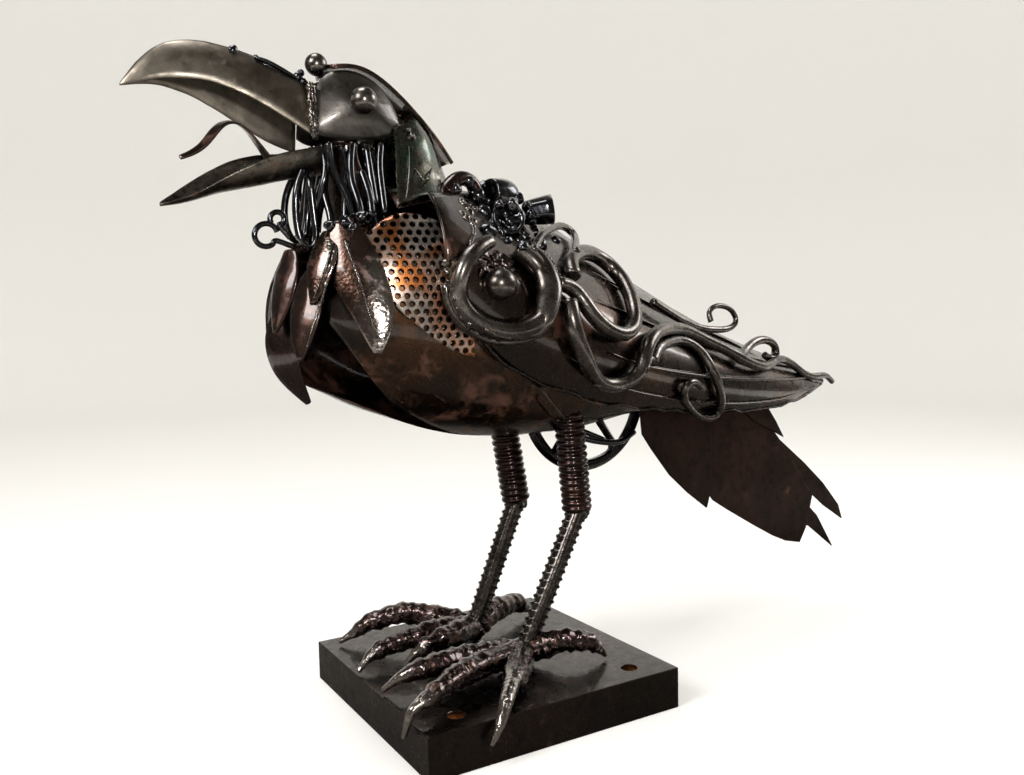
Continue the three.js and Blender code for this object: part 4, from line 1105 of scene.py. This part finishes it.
def painted_highlight_behind(place_on_blade, middle):
    """A painted highlight: the rear half of a breast feather is painted bright, up to a little above its
    middle.
    """
    if place_on_blade.z > middle.z + 20 * MM:
        return 0
    return clamped((place_on_blade.y - middle.y) / (7 * MM))


FEATHER_RIBS = (
    ((345, 240), (353, 262), (362, 288), (370, 315), (377, 338)),
    ((333, 243), (328, 262), (320, 282), (315, 296)),
    ((327, 282), (320, 306), (312, 330), (306, 350)),
)


class RAVEN_OT_feathers(RavenOperator):
    """Breast feathers, keel plate and tail plates"""

    bl_idname = "raven.feathers"
    bl_label = "Feathers"

    def make(self):
        for name in ("left_breast_feather_outer", "left_breast_feather_middle", "right_breast_feather_outer"):
            middle = box_middle(name)
            # Each of these feathers gets a painted highlight over its rear half.
            refined(name, "Hammered blade steel", "rusted_steel", sharp=50, wave=0.6 * MM, wave_size=8 * MM,
                    shine=lambda p, m=middle: painted_highlight_behind(p, m))
        refined("keel_plate", "Keel steel", "rusted_steel", sharp=50)
        ribs = [([seen(u, v, 0.4 * MM) for u, v in rib], lambda share, whole: (1.3 - 0.9 * share) * MM)
                for rib in FEATHER_RIBS]
        rods("breast_feather_ribs", ribs, "Weld metal", "rusted_steel", sides=8, count=30)
        for name in ("left_breast_feather_inner", "breast_feather_front", "right_breast_feather_inner"):
            refined(name, "Red blade steel", "rusted_steel", sharp=50, wave=0.8 * MM, wave_size=10 * MM)
        for name in ("tail_feather_left", "tail_feather_front", "tail_feather_middle", "tail_feather_right"):
            bm = node_copy(name)
            soften(bm, PLATE_EDGE, 2)
            piece = place(piece_from(name + "_plate", bm), "Tail steel", "oiled_steel", name, smooth=False)
            piece.modifiers.new("Crisp", "WEIGHTED_NORMAL")


# The floor runs flat to its reach and then bends up into the wall
FLOOR_REACH, FLOOR_BEND, FLOOR_STEPS = 2.4, 0.8, 8
SENSOR_WIDTH = 36
# Rows of a name, a place, a target, a size and a power
LAMPS = (
    ("overhead", (-0.15, -0.25, 1.5), (0, 0, 0.25), 0.5, 6),
    ("key", (0.30, -1.05, 0.95), (0, 0, 0.25), 0.45, 10),
    ("rim", (0.35, 1.1, 0.9), (0, 0.1, 0.25), 0.5, 6),
    ("front", (0.70, -0.28, 0.46), (0, 0, 0.28), 0.07, 2.2),
)


def matt(name, shade):
    """A matt material for the studio."""
    material = bpy.data.materials.new(name)
    material.use_nodes = True
    shader = material.node_tree.nodes["Principled BSDF"]
    shader.inputs["Base Color"].default_value = (*shade, 1)
    shader.inputs["Roughness"].default_value = 0.9
    return material


def make_floor():
    """A pale floor that bends up into the wall."""
    bm = bmesh.new()
    profile = [(0, 0), (1.2, 0), (FLOOR_REACH, 0)]
    for i in range(1, FLOOR_STEPS + 1):
        turn = math.pi / 2 * i / FLOOR_STEPS
        profile.append((FLOOR_REACH + FLOOR_BEND * math.sin(turn), FLOOR_BEND * (1 - math.cos(turn))))
    profile += [(FLOOR_REACH + FLOOR_BEND, 3.2)]
    verts = [bm.verts.new((r, 0, z)) for r, z in profile]
    edges = [bm.edges.new(pair) for pair in zip(verts, verts[1:])]
    bmesh.ops.spin(bm, geom=verts + edges, cent=(0, 0, 0), axis=(0, 0, 1), angle=2 * math.pi,
                   steps=64, use_merge=True)
    bmesh.ops.remove_doubles(bm, verts=bm.verts, dist=0.1 * MM)
    bmesh.ops.recalc_face_normals(bm, faces=bm.faces)
    bmesh.ops.reverse_faces(bm, faces=bm.faces)
    floor = piece_from("studio_floor", bm)
    floor.data.shade_smooth()
    floor.data.materials.append(matt("Pale floor", (0.80, 0.79, 0.762)))


def make_screen():
    """Dark screens seen only in reflections, as a dim room would be."""
    bm = bmesh.new()
    verts = [bm.verts.new((0, -1.4, z)) for z in (-0.2, 0.6, 1.3, 1.9)]
    edges = [bm.edges.new(pair) for pair in zip(verts, verts[1:])]
    bmesh.ops.rotate(
        bm, verts=verts, cent=(0, 0, 0), matrix=Matrix.Rotation(math.radians(-70), 3, "Z"))
    bmesh.ops.spin(bm, geom=verts + edges, cent=(0, 0, 0), axis=(0, 0, 1), angle=math.radians(240),
                   steps=32)
    bmesh.ops.create_circle(bm, cap_ends=True, radius=0.75, segments=48,
                            matrix=Matrix.Translation((0, 0, 0.3 * MM)))
    bmesh.ops.create_circle(bm, cap_ends=True, radius=1.5, segments=48,
                            matrix=Matrix.Translation((0, 0, 1.9)))
    screen = piece_from("studio_screen", bm)
    screen.visible_camera = screen.visible_shadow = screen.visible_diffuse = False
    screen.data.materials.append(matt("Dim screen", (0.09, 0.080, 0.070)))


def make_lights(scene):
    """The pale sky and the soft lamps."""
    world = bpy.data.worlds.new("Studio light")
    scene.world = world
    world.use_nodes = True
    sky = world.node_tree.nodes["Background"]
    sky.inputs["Color"].default_value = (1.0, 0.985, 0.96, 1)
    sky.inputs["Strength"].default_value = 1.25
    for name, spot, target, size, power in LAMPS:
        lamp = bpy.data.lights.new(name, "AREA")
        lamp.size = size
        lamp.energy = power
        made = bpy.data.objects.new(name, lamp)
        made.location = spot
        made.rotation_euler = (Vector(target) - Vector(spot)).to_track_quat("-Z", "Y").to_euler()
        bpy.context.collection.objects.link(made)


def make_camera(scene):
    """The camera that took the photograph."""
    lens = bpy.data.cameras.new("view")
    lens.sensor_width = SENSOR_WIDTH
    lens.lens = CAMERA_FOCUS * SENSOR_WIDTH / PHOTO_WIDTH
    lens.clip_start = 0.01
    camera = bpy.data.objects.new("view", lens)
    bpy.context.collection.objects.link(camera)
    axes = Matrix(camera_axes()).transposed().to_4x4()
    camera.matrix_world = Matrix.Translation(CAMERA_PLACE) @ axes
    scene.camera = camera
    scene.view_settings.view_transform = "Standard"


class RAVEN_OT_stage(bpy.types.Operator):
    """The pale studio, its lights and the camera"""

    bl_idname = "raven.stage"
    bl_label = "Studio"
    bl_options = {"REGISTER", "UNDO"}

    def execute(self, context):
        make_floor()
        make_screen()
        make_lights(context.scene)
        make_camera(context.scene)
        return {"FINISHED"}


PIECE_OPERATORS = (
    RAVEN_OT_plinth, RAVEN_OT_legs, RAVEN_OT_toes, RAVEN_OT_shells, RAVEN_OT_perforated, RAVEN_OT_head,
    RAVEN_OT_wing_rods, RAVEN_OT_wing_details, RAVEN_OT_fittings, RAVEN_OT_throat, RAVEN_OT_feathers,
    RAVEN_OT_stage,
)


class RAVEN_PT_panel(bpy.types.Panel):
    """Lists the raven's sizes, colours and pieces"""

    bl_idname = "RAVEN_PT_panel"
    bl_label = "Scrap steel raven"
    bl_space_type = "VIEW_3D"
    bl_region_type = "UI"
    bl_category = "Raven"

    def draw(self, context):
        for holder in (context.scene.raven_sizes, context.scene.raven_colours):
            for key in holder.bl_rna.properties.keys():
                if key not in ("rna_type", "name"):
                    self.layout.prop(holder, key)
        for operator in PIECE_OPERATORS:
            self.layout.operator(operator.bl_idname)


CLASSES = (RavenSizes, RavenColours, *PIECE_OPERATORS, RAVEN_PT_panel)


def register():
    for made in CLASSES:
        bpy.utils.register_class(made)
    bpy.types.Scene.raven_sizes = PointerProperty(type=RavenSizes)
    bpy.types.Scene.raven_colours = PointerProperty(type=RavenColours)


def unregister():
    del bpy.types.Scene.raven_colours
    del bpy.types.Scene.raven_sizes
    for made in reversed(CLASSES):
        bpy.utils.unregister_class(made)


def main():
    register()
    for operator in PIECE_OPERATORS:
        group, name = operator.bl_idname.split(".")
        getattr(getattr(bpy.ops, group), name)()
    bpy.context.view_layer.update()


if __name__ == "__main__":
    main()
